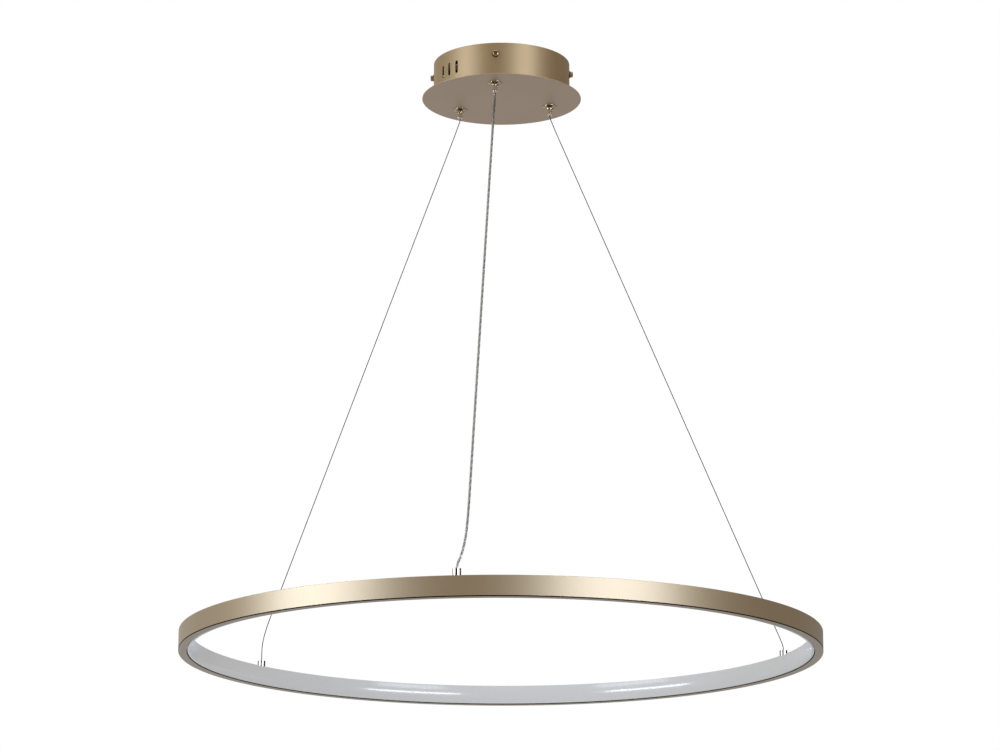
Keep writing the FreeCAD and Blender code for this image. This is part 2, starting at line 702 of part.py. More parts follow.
def driver_case():
    """The driver's tray, with posts under the board and openings for its terminals, and its lid."""
    wall = driver_wall
    low = (-driver_half_x, driver_front_y, driver_bottom_z)
    high = (driver_half_x, driver_front_y + driver_width, driver_top_z)
    lid_z = high[2] - wall
    tray = block(low, (high[0], high[1], lid_z))
    tray = tray.cut(block((low[0] + wall, low[1] + wall, low[2] + wall),
                          (high[0] - wall, high[1] - wall, lid_z)))
    for x in terminal_x.values():
        half = terminal_size[0] / 2.0 + terminal_gap
        opening_low = board_top_z - terminal_gap
        opening_top = board_top_z + terminal_size[2] + terminal_gap
        tray = tray.cut(block((x - half, low[1], opening_low), (x + half, low[1] + wall, opening_top)))
    post = driver_post
    for x in (low[0] + post, high[0] - 2.0 * post):
        for y in (low[1] + post, high[1] - 2.0 * post):
            tray = tray.fuse(block((x, y, low[2] + wall), (x + post, y + post, board_low_z)))
    keep("driver_tray", tray.removeSplitter())
    keep("driver_lid", block((low[0], low[1], lid_z), high))
    margin = driver_pad_margin
    keep("driver_pad", block((low[0] + margin, low[1] + margin, cup_floor_z),
                             (high[0] - margin, high[1] - margin, driver_bottom_z)))


def driver_circuit():
    """The driver's board, its terminals, and the largest parts that stand on it."""
    inset = driver_wall + board_side_gap
    back_y = driver_front_y + driver_width
    keep("driver_board", block((inset - driver_half_x, driver_front_y + inset, board_low_z),
                               (driver_half_x - inset, back_y - inset, board_top_z)))
    for x in terminal_x.values():
        half = terminal_size[0] / 2.0
        keep("driver_terminals", block(
            (x - half, driver_front_y, board_top_z),
            (x + half, driver_front_y + terminal_size[1], board_top_z + terminal_size[2])))
    length, width, height = transformer_size
    middle_y = driver_middle_y + transformer_shift
    keep("driver_transformer", block((-length / 2.0, middle_y - width / 2.0, board_top_z),
                                     (length / 2.0, middle_y + width / 2.0, board_top_z + height)))
    for inset in capacitor_insets:
        spot = Vector(driver_half_x - inset, driver_middle_y + capacitor_shift, 0)
        top = board_top_z + capacitor_height
        keep("driver_capacitors", prism(wound_sides, capacitor_r, board_top_z, top, spot))
    spot = Vector(choke_inset - driver_half_x, driver_middle_y + choke_shift, 0)
    top = board_top_z + choke_height
    choke = prism(wound_sides, choke_r, board_top_z, top, spot)
    keep("driver_choke", choke.cut(prism(wound_sides, choke_hole_r, board_top_z, top, spot)))


def mains_block():
    """The three-pole terminal block on the cup's floor, its screws, and two leads to the driver."""
    length, width, height = block_size
    x, y = block_middle
    top = cup_floor_z + height
    front_y = y - width / 2.0
    well_floor = top - block_screw_well
    well = block_screw_r + thread_gap
    body = block((x - length / 2.0, front_y, cup_floor_z), (x + length / 2.0, block_back_y, top))
    for pole in block_poles:
        for row in (y - block_row_pitch / 2.0, y + block_row_pitch / 2.0):
            body = body.cut(block((pole - well, row - well, well_floor), (pole + well, row + well, top)))
            spot = Vector(pole, row, 0)
            screw_top = well_floor + block_screw_height
            keep("block_screws", prism(wound_sides, block_screw_r, well_floor, screw_top, spot))
        start = Vector(pole, front_y, block_port_z)
        body = body.cut(Part.makeCylinder(flex_r + block_port_gap, block_port_depth, start, Vector(0, 1, 0)))
    keep("terminal_block", body)
    straight = Vector(0, mains_lead_straight, 0)
    for pole, hand in zip(block_poles, (-1.0, 1.0)):
        start = Vector(pole, block_back_y, block_port_z)
        socket = Vector(terminal_x["input"] + hand * mains_lead_spread, driver_front_y, terminal_z)
        route = [start, start + straight, socket - straight, socket]
        keep("mains_leads", cord_tube("mains lead", route, flex_r))


def earth_point():
    """The earth screw in the bracket's right arm, the crimped lug under it, and the lug's lead."""
    lug_top = ceiling_z - bracket_thickness
    lug_low = lug_top - lug_thickness
    spot = Vector(earth_screw_x, 0, 0)
    barrel_z = lug_low - lug_barrel_r + lug_thickness / 2.0
    barrel_start = Vector(earth_screw_x, -lug_r - lug_barrel_length, barrel_z)
    barrel = Part.makeCylinder(lug_barrel_r, lug_barrel_length, barrel_start, Vector(0, 1, 0))
    tongue = block((earth_screw_x - lug_barrel_r, barrel_start.y, lug_low),
                   (earth_screw_x + lug_barrel_r, 0, lug_top))
    ring = rod(lug_r, lug_low, lug_top, spot).fuse(tongue)
    ring = ring.cut(rod(earth_screw_r + thread_gap, lug_low, lug_top, spot))
    keep("earth_lug", ring.fuse(barrel).removeSplitter())
    shank = rod(earth_screw_r, lug_low, ceiling_z, spot)
    head = rod(earth_head_r, lug_low - earth_head_height, lug_low, spot)
    keep("earth_screw", shank.fuse(head).removeSplitter())
    port = Vector(block_poles[2], block_back_y, block_port_z)
    route = [port] + [port + Vector(*step) for step in earth_lead_out]
    route += [barrel_start + Vector(*step) for step in earth_lead_in] + [barrel_start]
    keep("earth_lead", cord_tube("earth lead", route, flex_r))


def build():
    ring_profile()
    diffuser()
    lights()
    ceiling_bracket()
    canopy_cup()
    canopy_plate()
    side_screws()
    for side, azimuth in hang_azimuths.items():
        if side == "front":
            cord_r = cable_r
            ball_r = cable_ball_r
            sides = cable_sides
            cable_stop(azimuth)
        else:
            cord_r = wire_r
            ball_r = wire_ball_r
            sides = wire_sides
            wire_stop(azimuth)
            wire_tail(side)
        gripper(side, azimuth, cord_r, ball_r)
        ring_anchor(azimuth, cord_r)
        free_cord(side, cord_r, sides)
    cable_tail()
    driver_case()
    driver_circuit()
    mains_block()
    earth_point()


def write():
    os.makedirs("parts", exist_ok=True)
    for name, solids in nodes.items():
        shape = solids[0] if len(solids) == 1 else Part.makeCompound(solids)
        state = "valid" if shape.isValid() else "BAD"
        print(name, len(shape.Solids), "solids", round(shape.Volume, 1), "mm3", state)
        shape.exportStep("parts/" + name + ".step")


build()
write()
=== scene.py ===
import math

import bmesh
import bpy
from mathutils import Matrix, Vector


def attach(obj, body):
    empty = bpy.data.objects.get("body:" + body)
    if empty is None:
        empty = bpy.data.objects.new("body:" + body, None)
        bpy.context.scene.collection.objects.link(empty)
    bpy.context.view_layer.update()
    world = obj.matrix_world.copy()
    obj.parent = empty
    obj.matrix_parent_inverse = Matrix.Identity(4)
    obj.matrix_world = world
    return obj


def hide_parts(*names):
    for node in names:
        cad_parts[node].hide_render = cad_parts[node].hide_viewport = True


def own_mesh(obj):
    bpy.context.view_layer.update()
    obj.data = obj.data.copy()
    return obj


# A ring pendant lamp: a light channel on two steel wires and its own clear power cable, under a round
# canopy. Metres, in the lamp's own frame: the ceiling is at z 0, the front is -Y, and an azimuth is
# counted from the front towards +X. Outlines of turned pieces are written in millimetres.
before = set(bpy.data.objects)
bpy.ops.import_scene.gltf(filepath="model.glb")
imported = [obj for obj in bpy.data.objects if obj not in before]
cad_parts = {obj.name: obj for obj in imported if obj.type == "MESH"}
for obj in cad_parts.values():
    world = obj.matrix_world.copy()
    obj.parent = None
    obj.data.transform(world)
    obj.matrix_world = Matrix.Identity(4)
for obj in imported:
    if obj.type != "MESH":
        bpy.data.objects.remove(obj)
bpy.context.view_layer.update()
scene = bpy.context.scene

# ---- Studio
# A plain white room. The camera stands below the lamp, in front and a little to the right, with a long
# lens. Two wide soft lamps for the ring and two for the canopy make the bright bands on what is gold.
camera_turn = math.radians(4.9)
camera_pitch = math.radians(14.265)
camera_roll = math.radians(0.083)
camera_distance = 4.3127
camera_level = -1.51265
camera_lens = 126.17

camera = bpy.data.cameras.new("camera")
camera.sensor_width = 36.0
camera.lens = camera_lens
camera.clip_end = 100.0
camera.shift_x = -0.0012
camera.shift_y = 0.0010
camera_stand = bpy.data.objects.new("camera", camera)
camera_stand.matrix_world = (
    Matrix.Translation((camera_distance * math.sin(camera_turn), -camera_distance * math.cos(camera_turn),
                        camera_level))
    @ Matrix.Rotation(camera_turn, 4, "Z")
    @ Matrix.Rotation(math.pi / 2.0 + camera_pitch, 4, "X")
    @ Matrix.Rotation(camera_roll, 4, "Z"))
scene.collection.objects.link(camera_stand)
scene.camera = camera_stand
scene.view_settings.view_transform = "Standard"


def add_node(tree, kind, values=(), **settings):
    """One shader node: settings are its properties, and values fill its inputs or link them."""
    node = tree.nodes.new(kind)
    for name, value in settings.items():
        setattr(node, name, value)
    for key, value in dict(values).items():
        if isinstance(value, bpy.types.NodeSocket):
            tree.links.new(value, node.inputs[key])
        else:
            node.inputs[key].default_value = value
    return node


def add_math(tree, operation, first, second):
    """What one Math node makes of two values."""
    return add_node(tree, "ShaderNodeMath", {0: first, 1: second}, operation=operation).outputs[0]


def seen_directly(tree):
    """1 for what the camera, a reflection or a clear piece looks at, and 0 for what only lights."""
    path = add_node(tree, "ShaderNodeLightPath")
    either = add_math(tree, "MAXIMUM", path.outputs["Is Camera Ray"], path.outputs["Is Glossy Ray"])
    return add_math(tree, "MAXIMUM", either, path.outputs["Is Transmission Ray"])


room_light = 0.49
room_tint = (1.0, 0.975, 0.93, 1.0)
full_white = (1.0, 1.0, 1.0, 1.0)
world = bpy.data.worlds.new("white_room")
world.use_nodes = True
room = world.node_tree
room.nodes.clear()
lighting = add_node(room, "ShaderNodeBackground", {"Color": room_tint, "Strength": room_light})
backdrop = add_node(room, "ShaderNodeBackground", {"Color": full_white, "Strength": 1.0})
both_worlds = add_node(room, "ShaderNodeMixShader",
                       {0: seen_directly(room), 1: lighting.outputs[0], 2: backdrop.outputs[0]})
add_node(room, "ShaderNodeOutputWorld", {"Surface": both_worlds.outputs[0]})
scene.world = world


def from_camera(azimuth, distance, level):
    """A point round the lamp; the azimuth is counted from the camera, to its right."""
    turn = math.radians(azimuth) + camera_turn
    return Vector((distance * math.sin(turn), -distance * math.cos(turn), level))


def soft_lamp(name, position, aim, width, height, radiance, colour, in_reflections):
    """A rectangular soft lamp that the camera doesn't see."""
    lamp = bpy.data.lights.new(name, "AREA")
    lamp.shape = "RECTANGLE"
    lamp.size = width
    lamp.size_y = height
    lamp.energy = radiance * math.pi * width * height
    lamp.color = colour
    holder = bpy.data.objects.new(name, lamp)
    facing = (position - aim).to_track_quat("Z", "Y").to_matrix().to_4x4()
    holder.matrix_world = Matrix.Translation(position) @ facing
    holder.visible_camera = False
    holder.visible_glossy = in_reflections
    scene.collection.objects.link(holder)


ring_middle = Vector((0.0, 0.0, -0.763))
canopy_middle = Vector((0.0, 0.0, -0.023))
cool_white = (0.77, 0.85, 1.0)
warm_white = (1.0, 0.99, 0.97)
lamp_distance = 3.0
low_level = -0.20
high_level = 1.05
for name, azimuth, level, aim, width, height, radiance in (
        ("left_low_lamp", -62.5, low_level, ring_middle, 2.05, 0.22, 18.5),
        ("right_low_lamp", 36.5, low_level, ring_middle, 2.10, 0.22, 19.5),
        ("left_high_lamp", -59.0, high_level, canopy_middle, 1.80, 0.50, 3.3),
        ("right_high_lamp", 40.0, high_level, canopy_middle, 1.60, 0.50, 3.75)):
    position = from_camera(azimuth, lamp_distance, level)
    soft_lamp(name, position, aim, width, height, radiance, cool_white, True)
soft_lamp("overhead_lamp", Vector((-0.6, 0.3, 2.6)), ring_middle, 3.0, 3.0, 0.90, warm_white, False)

# Grey curtains stand round the lamp, out of the camera's sight: only reflections find them. They are no
# lamps, yet glow with painted shades that paint the light and dark reflections in the gold, dimmer high up.
# The disc that closes them below glows with the shade of a floor, with a dark spot in its middle, a painted
# reflection of a dark table.
curtain_radius = 5.0
curtain_low = -2.3
curtain_high = 6.0
floor_shade_end = curtain_low + 0.01
cloth_start = curtain_low + 0.30
dimming_start = 0.5
dimming_end = 1.2
dimmed_share = 0.80
floor_shade = (0.47, 0.485, 0.52)
# The dark spot in the floor's glow is a painted reflection, for darker reflections in the polished parts.
dark_spot_shade = (0.05, 0.045, 0.04)
dark_spot_radius = 1.3
dark_spot_blur = 0.05
circle_steps = 96
curtain_shades = [
    (-180.0, (0.53, 0.57, 0.64)),
    (-160.0, (0.61, 0.62, 0.64)),
    (-110.0, (0.47, 0.42, 0.34)),
    (-60.0, (0.28, 0.22, 0.13)),
    (-10.0, (0.225, 0.16, 0.072)),
    (60.0, (0.235, 0.17, 0.08)),
    (105.0, (0.27, 0.225, 0.175)),
    (150.0, (0.29, 0.275, 0.26)),
    (180.0, (0.53, 0.57, 0.64)),
]


def room_paint(name):
    """A material for the room, with no nodes yet; what glows in it doesn't count as a lamp."""
    paint = bpy.data.materials.new(name)
    paint.use_nodes = True
    paint.cycles.emission_sampling = "NONE"
    paint.node_tree.nodes.clear()
    return paint


def room_piece(shape, name, paint):
    """Turns a shape into a piece of the room."""
    mesh = bpy.data.meshes.new(name)
    shape.to_mesh(mesh)
    shape.free()
    mesh.materials.append(paint)
    piece = bpy.data.objects.new(name, mesh)
    scene.collection.objects.link(piece)
    return piece


def spread(tree, value, low, high, new_low=0.0, new_high=1.0):
    """A value between low and high, spread over a new range and held at its ends."""
    return add_node(tree, "ShaderNodeMapRange", {"Value": value, "From Min": low, "From Max": high,
                                                 "To Min": new_low, "To Max": new_high}).outputs[0]


def mixed(tree, share, first, second):
    """A blend of two colours."""
    blend = add_node(tree, "ShaderNodeMix", {"Factor": share, "A": first, "B": second}, data_type="RGBA")
    return blend.outputs["Result"]


def axis_distance(tree):
    """How far a point is from the lamp's axis."""
    spot = add_node(tree, "ShaderNodeTexCoord")
    flat_spot = add_node(tree, "ShaderNodeVectorMath", {0: spot.outputs["Object"], 1: (1.0, 1.0, 0.0)},
                         operation="MULTIPLY")
    return add_node(tree, "ShaderNodeVectorMath", {0: flat_spot.outputs[0]},
                    operation="LENGTH").outputs["Value"]


curtain_shape = bmesh.new()
rim = bmesh.ops.create_circle(curtain_shape, cap_ends=True, segments=circle_steps,
                              radius=curtain_radius)["verts"]
bmesh.ops.translate(curtain_shape, vec=(0.0, 0.0, curtain_low), verts=rim)
drawn_up = bmesh.ops.extrude_edge_only(curtain_shape, edges=curtain_shape.edges[:])["geom"]
bmesh.ops.translate(curtain_shape, vec=(0.0, 0.0, curtain_high - curtain_low),
                    verts=[part for part in drawn_up if isinstance(part, bmesh.types.BMVert)])
# The curtains glow with painted shades; they are no lamps.
curtain_glow = room_paint("curtain_painted_glow")
curtain_glow_tree = curtain_glow.node_tree
spot = add_node(curtain_glow_tree, "ShaderNodeTexCoord")
turned_spot = add_node(curtain_glow_tree, "ShaderNodeMapping", {"Vector": spot.outputs["Object"],
                                                         "Rotation": (0.0, 0.0, -camera_turn)})
parts = add_node(curtain_glow_tree, "ShaderNodeSeparateXYZ", {0: turned_spot.outputs[0]})
curtain_height = parts.outputs["Z"]
backwards = add_math(curtain_glow_tree, "MULTIPLY", parts.outputs["Y"], -1.0)
bearing = add_math(curtain_glow_tree, "ARCTAN2", parts.outputs["X"], backwards)
shades = add_node(curtain_glow_tree, "ShaderNodeValToRGB", {0: spread(curtain_glow_tree, bearing, -math.pi, math.pi)})
stops = shades.color_ramp.elements
stops[0].color = (*curtain_shades[0][1], 1.0)
stops[1].color = (*curtain_shades[-1][1], 1.0)
for azimuth, colour in curtain_shades[1:-1]:
    stops.new((azimuth + 180.0) / 360.0).color = (*colour, 1.0)
off_dark_spot = spread(curtain_glow_tree, axis_distance(curtain_glow_tree), dark_spot_radius * (1.0 - dark_spot_blur),
                   dark_spot_radius * (1.0 + dark_spot_blur))
ground = mixed(curtain_glow_tree, off_dark_spot, (*dark_spot_shade, 1.0), (*floor_shade, 1.0))
off_floor = spread(curtain_glow_tree, curtain_height, floor_shade_end, cloth_start)
glow = add_node(curtain_glow_tree, "ShaderNodeEmission", {
    "Color": mixed(curtain_glow_tree, off_floor, ground, shades.outputs[0]),
    "Strength": spread(curtain_glow_tree, curtain_height, dimming_start, dimming_end, 1.0, dimmed_share)})
add_node(curtain_glow_tree, "ShaderNodeOutputMaterial", {"Surface": glow.outputs[0]})
curtain = room_piece(curtain_shape, "curtain", curtain_glow)
curtain.visible_camera = False
curtain.visible_diffuse = False
curtain.visible_transmission = False
curtain.visible_shadow = False

# The pale floor keeps a soft shadow under the lamp, turns as white as the room towards its edge, and is
# open to a view from below.
floor_level = -2.4
floor_size = 30.0
floor_grey = (0.86, 0.86, 0.86, 1.0)
shadow_reach = 2.0
white_reach = 9.0
near_whiteness = 0.9


def show_from_front(tree, front):
    """Ends a material that shows from its front and lets everything through from behind."""
    clear = add_node(tree, "ShaderNodeBsdfTransparent")
    side = add_node(tree, "ShaderNodeNewGeometry")
    one_way = add_node(tree, "ShaderNodeMixShader", {0: side.outputs["Backfacing"], 1: front.outputs[0],
                                                     2: clear.outputs[0]})
    add_node(tree, "ShaderNodeOutputMaterial", {"Surface": one_way.outputs[0]})


floor_shape = bmesh.new()
bmesh.ops.create_grid(floor_shape, x_segments=1, y_segments=1, size=floor_size / 2.0,
                      matrix=Matrix.Translation((0.0, 0.0, floor_level)))
floor_paint = room_paint("pale_floor")
floor_tree = floor_paint.node_tree
matt = add_node(floor_tree, "ShaderNodeBsdfDiffuse", {"Color": floor_grey})
white = add_node(floor_tree, "ShaderNodeEmission", {"Color": full_white, "Strength": 1.0})
whiteness = spread(floor_tree, axis_distance(floor_tree), shadow_reach, white_reach, near_whiteness, 1.0)
share_white = add_math(floor_tree, "MULTIPLY", seen_directly(floor_tree), whiteness)
show_from_front(floor_tree, add_node(floor_tree, "ShaderNodeMixShader",
                                     {0: share_white, 1: matt.outputs[0], 2: white.outputs[0]}))
floor = room_piece(floor_shape, "floor", floor_paint)

# The ceiling over the canopy, as a near-black sheet that only the camera sees from below: painted shade
# for the inside of the cup, seen through the slots. It is open to a view from above.
patch_radius = 0.0868
patch_level = 0.0003
# Near black: painted shade for the inside of the cup.
patch_painted_shade = (0.03, 0.026, 0.02, 1.0)
patch_shape = bmesh.new()
bmesh.ops.create_circle(patch_shape, cap_ends=True, segments=circle_steps, radius=patch_radius,
                        matrix=Matrix.Translation((0.0, 0.0, patch_level)) @ Matrix.Rotation(math.pi, 4, "X"))
patch_paint = room_paint("ceiling_painted_shade")
show_from_front(patch_paint.node_tree,
                add_node(patch_paint.node_tree, "ShaderNodeBsdfDiffuse", {"Color": patch_painted_shade}))
patch = room_piece(patch_shape, "ceiling_patch", patch_paint)
patch.visible_diffuse = False
patch.visible_glossy = False
patch.visible_shadow = False

# ---- Steel suspension wires
# Two steel wires, 1.2 mm thick, each six strands laid round a seventh. They run straight from the
# grippers' noses to the ring, and bow a little where they leave the one and enter the other.
mm = 0.001
hang_turn = -2.4
hang_azimuths = {"front": hang_turn, "right": hang_turn + 120.0, "left": hang_turn - 120.0}


def place(radius, azimuth, level, sideways=0.0):
    """A point at a radius and an azimuth, in millimetres; sideways runs along the circle."""
    turn = math.radians(azimuth)
    return Vector((radius * math.sin(turn) + sideways * math.cos(turn),
                   -radius * math.cos(turn) + sideways * math.sin(turn), level)) * mm


def route_line(points):
    """Close points along the smooth curve that has the route's points as its control points."""
    route = bpy.data.curves.new("route", "CURVE")
    route.dimensions = "3D"
    route.resolution_u = 24
    spline = route.splines.new("NURBS")
    spline.points.add(len(points) - 1)
    for knot, point in zip(spline.points, points):
        knot.co = (*point, 1.0)
    spline.order_u = 3
    spline.use_endpoint_u = True
    carrier = bpy.data.objects.new("route", route)
    mesh = bpy.data.meshes.new_from_object(carrier)
    line = [vertex.co.copy() for vertex in mesh.vertices]
    bpy.data.objects.remove(carrier)
    bpy.data.curves.remove(route)
    bpy.data.meshes.remove(mesh)
    return line


def even_steps(line, step):
    """Points at even steps along a line of points."""
    lengths = [(after - before).length for before, after in zip(line, line[1:])]
    count = max(2, round(sum(lengths) / step))
    spacing = sum(lengths) / count
    points = [line[0].copy()]
    walked = 0.0
    for before, after, length in zip(line, line[1:], lengths):
        while len(points) < count and walked + length >= spacing * len(points):
            points.append(before.lerp(after, (spacing * len(points) - walked) / length))
        walked += length
    points.append(line[-1].copy())
    return points


def wound_round(points, offset, lay, start_turn):
    """Points that wind round a line: offset from it, one turn for each lay."""
    wound = []
    across = (points[1] - points[0]).orthogonal().normalized()
    walked = 0.0
    for number, point in enumerate(points):
        before = points[max(0, number - 1)]
        after = points[min(len(points) - 1, number + 1)]
        along = (after - before).normalized()
        across = (across - along * across.dot(along)).normalized()
        walked += (point - before).length
        turn = start_turn + 2.0 * math.pi * walked / lay
        wound.append(point + (across * math.cos(turn) + along.cross(across) * math.sin(turn)) * offset)
    return wound


def round_strands(lines, radius, bevel_resolution):
    """One mesh of round tubes along lines of points."""
    tubes = bpy.data.curves.new("tubes", "CURVE")
    tubes.dimensions = "3D"
    tubes.bevel_depth = radius
    tubes.bevel_resolution = bevel_resolution
    tubes.use_fill_caps = True
    for line in lines:
        spline = tubes.splines.new("POLY")
        spline.points.add(len(line) - 1)
        for knot, point in zip(spline.points, line):
            knot.co = (*point, 1.0)
    carrier = bpy.data.objects.new("tubes", tubes)
    mesh = bpy.data.meshes.new_from_object(carrier)
    bpy.data.objects.remove(carrier)
    bpy.data.curves.remove(tubes)
    shape = bmesh.new()
    shape.from_mesh(mesh)
    bpy.data.meshes.remove(mesh)
    bmesh.ops.remove_doubles(shape, verts=shape.verts[:], dist=1e-7)
    bmesh.ops.recalc_face_normals(shape, faces=shape.faces[:])
    return shape


def make_piece(shape, name, body, slot, material, *nodes, sharp=35.0, flat_faces=True):
    """Turns a shape into a piece that rides on a body and stands for CAD nodes.

    With flat_faces, wide faces keep their own normal, and only the narrow rounded ones shade across."""
    mesh = bpy.data.meshes.new(name)
    shape.to_mesh(mesh)
    shape.free()
    mesh.shade_smooth()
    mesh.set_sharp_from_angle(angle=math.radians(sharp))
    mesh.materials.append(material)
    piece = bpy.data.objects.new(name, mesh)
    scene.collection.objects.link(piece)
    if flat_faces:
        piece.modifiers.new("flat_faces", "WEIGHTED_NORMAL").keep_sharp = True
    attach(piece, body)
    if nodes:
        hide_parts(*nodes)
    return piece


def cord_piece(lines, radius, bevel_resolution, name, slot, material, *nodes, sharp=60.0):
    """A piece of round cords along lines of points, which rides on the canopy."""
    return make_piece(round_strands(lines, radius, bevel_resolution), name, "canopy", slot, material, *nodes,
                      sharp=sharp, flat_faces=False)


def grained(name, shade, lighter, drift, grain, roughness, relief, stretch=(1.0, 1.0, 1.0)):
    """A finish with a faint drift of tone, and a fine grain in its roughness and its surface."""
    material = bpy.data.materials.new(name)
    material.use_nodes = True
    tree = material.node_tree
    shader = tree.nodes["Principled BSDF"]
    spot = add_node(tree, "ShaderNodeTexCoord")
    scaled = add_node(tree, "ShaderNodeMapping", {"Vector": spot.outputs["Object"], "Scale": stretch})
    wide = add_node(tree, "ShaderNodeTexNoise", {"Vector": scaled.outputs[0], **drift})
    fine = add_node(tree, "ShaderNodeTexNoise", {"Vector": scaled.outputs[0], **grain})
    bump = add_node(tree, "ShaderNodeBump", {"Height": fine.outputs["Fac"], **relief})
    tone = mixed(tree, wide.outputs["Fac"], (*shade, 1.0), (*lighter, 1.0))
    tree.links.new(tone, shader.inputs["Base Color"])
    tree.links.new(spread(tree, fine.outputs["Fac"], *roughness), shader.inputs["Roughness"])
    tree.links.new(bump.outputs[0], shader.inputs["Normal"])
    return material


def metal(name, shade, lighter, roughness, rougher, grain, depth, stretch=(1.0, 1.0, 1.0), coat=0.0):
    """A metal finish, bare or under a thin clear coat."""
    material = grained(name, shade, lighter, {"Scale": 9.0, "Detail": 3.0},
                       {"Scale": grain, "Detail": 4.0, "Roughness": 0.6}, (0.3, 0.7, roughness, rougher),
                       {"Strength": 0.5, "Distance": depth}, stretch)
    shader = material.node_tree.nodes["Principled BSDF"]
    shader.inputs["Metallic"].default_value = 1.0
    shader.inputs["Coat Weight"].default_value = coat
    shader.inputs["Coat Roughness"].default_value = 0.25
    return material


strand_steel = metal("strand_steel", (0.095, 0.095, 0.094), (0.135, 0.135, 0.133), 0.30, 0.42, 900.0, 0.00001)
wire_radius = 0.6 * mm
strand_radius = 0.2 * mm
strand_count = 6
strand_lay = 6.0 * mm
strand_step = strand_lay / 8.0
wire_routes = {
    "left": [(68.0, -59.0), (68.0, -62.5), (71.2, -69.0), (79.2, -85.6), (87.5, -102.0), (374.6, -672.9),
             (382.5, -688.5), (389.6, -704.5), (394.0, -719.0), (394.85, -731.0), (394.85, -741.9)],
    "right": [(68.0, -59.0), (68.0, -62.5), (71.0, -69.0), (78.6, -85.6), (86.6, -102.0), (384.7, -715.1),
              (388.6, -723.1), (392.4, -731.2), (394.85, -738.0), (394.85, -741.9)],
}


def shorten_with_ring(piece):
    """Gives a cord piece its own copy of its mesh."""
    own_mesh(piece)


def wire_strands(line):
    """A wire's middle strand and the six that are laid round it, as lines of points."""
    middle_strand = even_steps(line, strand_step)
    return [middle_strand] + [wound_round(middle_strand, wire_radius - strand_radius, strand_lay,
                                          2.0 * math.pi * number / strand_count)
                              for number in range(strand_count)]


for side, route in wire_routes.items():
    line = route_line([place(radius, hang_azimuths[side], level) for radius, level in route])
    strands = wire_strands(line)
    wire = cord_piece(strands, strand_radius, 1, "wire_" + side + "_strands", "wire_steel", strand_steel,
                      "wire_" + side, sharp=75.0)
    shorten_with_ring(wire)

# ---- Power cable
# A 3 mm cable in a clear jacket: two tinned copper cores, twisted together, show through it. It hangs
# beside its own straight line by about 10 mm near the ring, because it carries no weight.
cable_radius = 1.5 * mm
cable_step = 2.0 * mm
core_radius = 0.5 * mm
core_offset = 0.52 * mm
core_lay = 20.0 * mm
core_step = core_lay / 12.0
cable_route = [(68.0, 0.0, -59.0), (68.0, 0.0, -66.0), (71.8, 0.0, -76.0), (80.0, 0.0, -92.5),
               (88.3, 0.3, -108.9), (357.6, 9.6, -639.5), (370.0, 10.0, -664.0), (382.5, 10.0, -688.5),
               (390.5, 8.8, -709.0), (394.3, 5.0, -727.0), (394.85, 0.0, -737.6), (394.85, 0.0, -741.9)]


def clear_plastic(name, tint):
    """Clear soft plastic: it bends light, and its surface is a little dulled."""
    material = bpy.data.materials.new(name)
    material.use_nodes = True
    tree = material.node_tree
    shader = tree.nodes["Principled BSDF"]
    spot = add_node(tree, "ShaderNodeTexCoord")
    fine = add_node(tree, "ShaderNodeTexNoise", {"Vector": spot.outputs["Object"], "Scale": 500.0,
                                                 "Detail": 2.0})
    tree.links.new(spread(tree, fine.outputs["Fac"], 0.0, 1.0, 0.10, 0.22), shader.inputs["Roughness"])
    shader.inputs["Base Color"].default_value = (*tint, 1.0)
    shader.inputs["Transmission Weight"].default_value = 1.0
    shader.inputs["IOR"].default_value = 1.5
    return material


def cable_cores(line):
    """The cable's two cores, twisted together, as lines of points."""
    return [wound_round(even_steps(line, core_step), core_offset, core_lay, start)
            for start in (0.0, math.pi)]


clear_jacket = clear_plastic("clear_jacket", (0.74, 0.735, 0.72))
tinned_copper = metal("tinned_copper", (0.37, 0.36, 0.345), (0.45, 0.44, 0.42), 0.25, 0.40, 1500.0, 0.00002,
                      stretch=(1.0, 1.0, 0.15))
line = route_line([place(radius, hang_azimuths["front"], level, sideways)
                   for radius, sideways, level in cable_route])
cable_line = even_steps(line, cable_step)
core_pair = cord_piece(cable_cores(line), core_radius, 3, "power_cable_cores", "wire_steel", tinned_copper)
jacket = cord_piece([cable_line], cable_radius, 8, "power_cable_jacket", "clear_cable", clear_jacket,
                    "power_cable")
shorten_with_ring(jacket)
shorten_with_ring(core_pair)

# ---- Ring channel
# The ring is one aluminium channel, rolled to a circle and open to the middle, with a shadow groove
# along its lower edge and two hooked flanges for the diffuser. It is sprayed in satin champagne gold,
# thinner and duller on its top, which nobody sees once the lamp hangs.
ring_top = -750.5
ring_low = -775.5
ring_outer = 400.0
channel_wall = 1.4
flange_end = 389.7
hook_wall = 0.6
hook_tip = 3.0
groove_lip = 0.5
groove_height = 0.8
groove_depth = 0.8
ring_steps = 480


def lathe(points, steps, rounded=(), rounding_steps=3, sweep=360.0):
    """A turned shape from (radius, height) points in millimetres; rounded maps a corner to its radius."""
    shape = bmesh.new()
    corners = [shape.verts.new((radius * mm, 0.0, height * mm)) for radius, height in points]
    shape.faces.new(corners)
    for number, radius in dict(rounded).items():
        bmesh.ops.bevel(shape, geom=[corners[number]], offset=radius * mm, offset_type="OFFSET",
                        segments=rounding_steps, profile=0.5, affect="VERTICES", material=-1)
    bmesh.ops.delete(shape, geom=shape.faces[:], context="FACES_ONLY")
    on_axis = [edge for edge in shape.edges if all(vertex.co.x < 1e-7 for vertex in edge.verts)]
    bmesh.ops.delete(shape, geom=on_axis, context="EDGES")
    bmesh.ops.spin(shape, geom=shape.verts[:] + shape.edges[:], axis=(0.0, 0.0, 1.0), cent=(0.0, 0.0, 0.0),
                   angle=math.radians(sweep), steps=steps, use_merge=sweep == 360.0)
    bmesh.ops.remove_doubles(shape, verts=shape.verts[:], dist=1e-6)
    bmesh.ops.recalc_face_normals(shape, faces=shape.faces[:])
    return shape


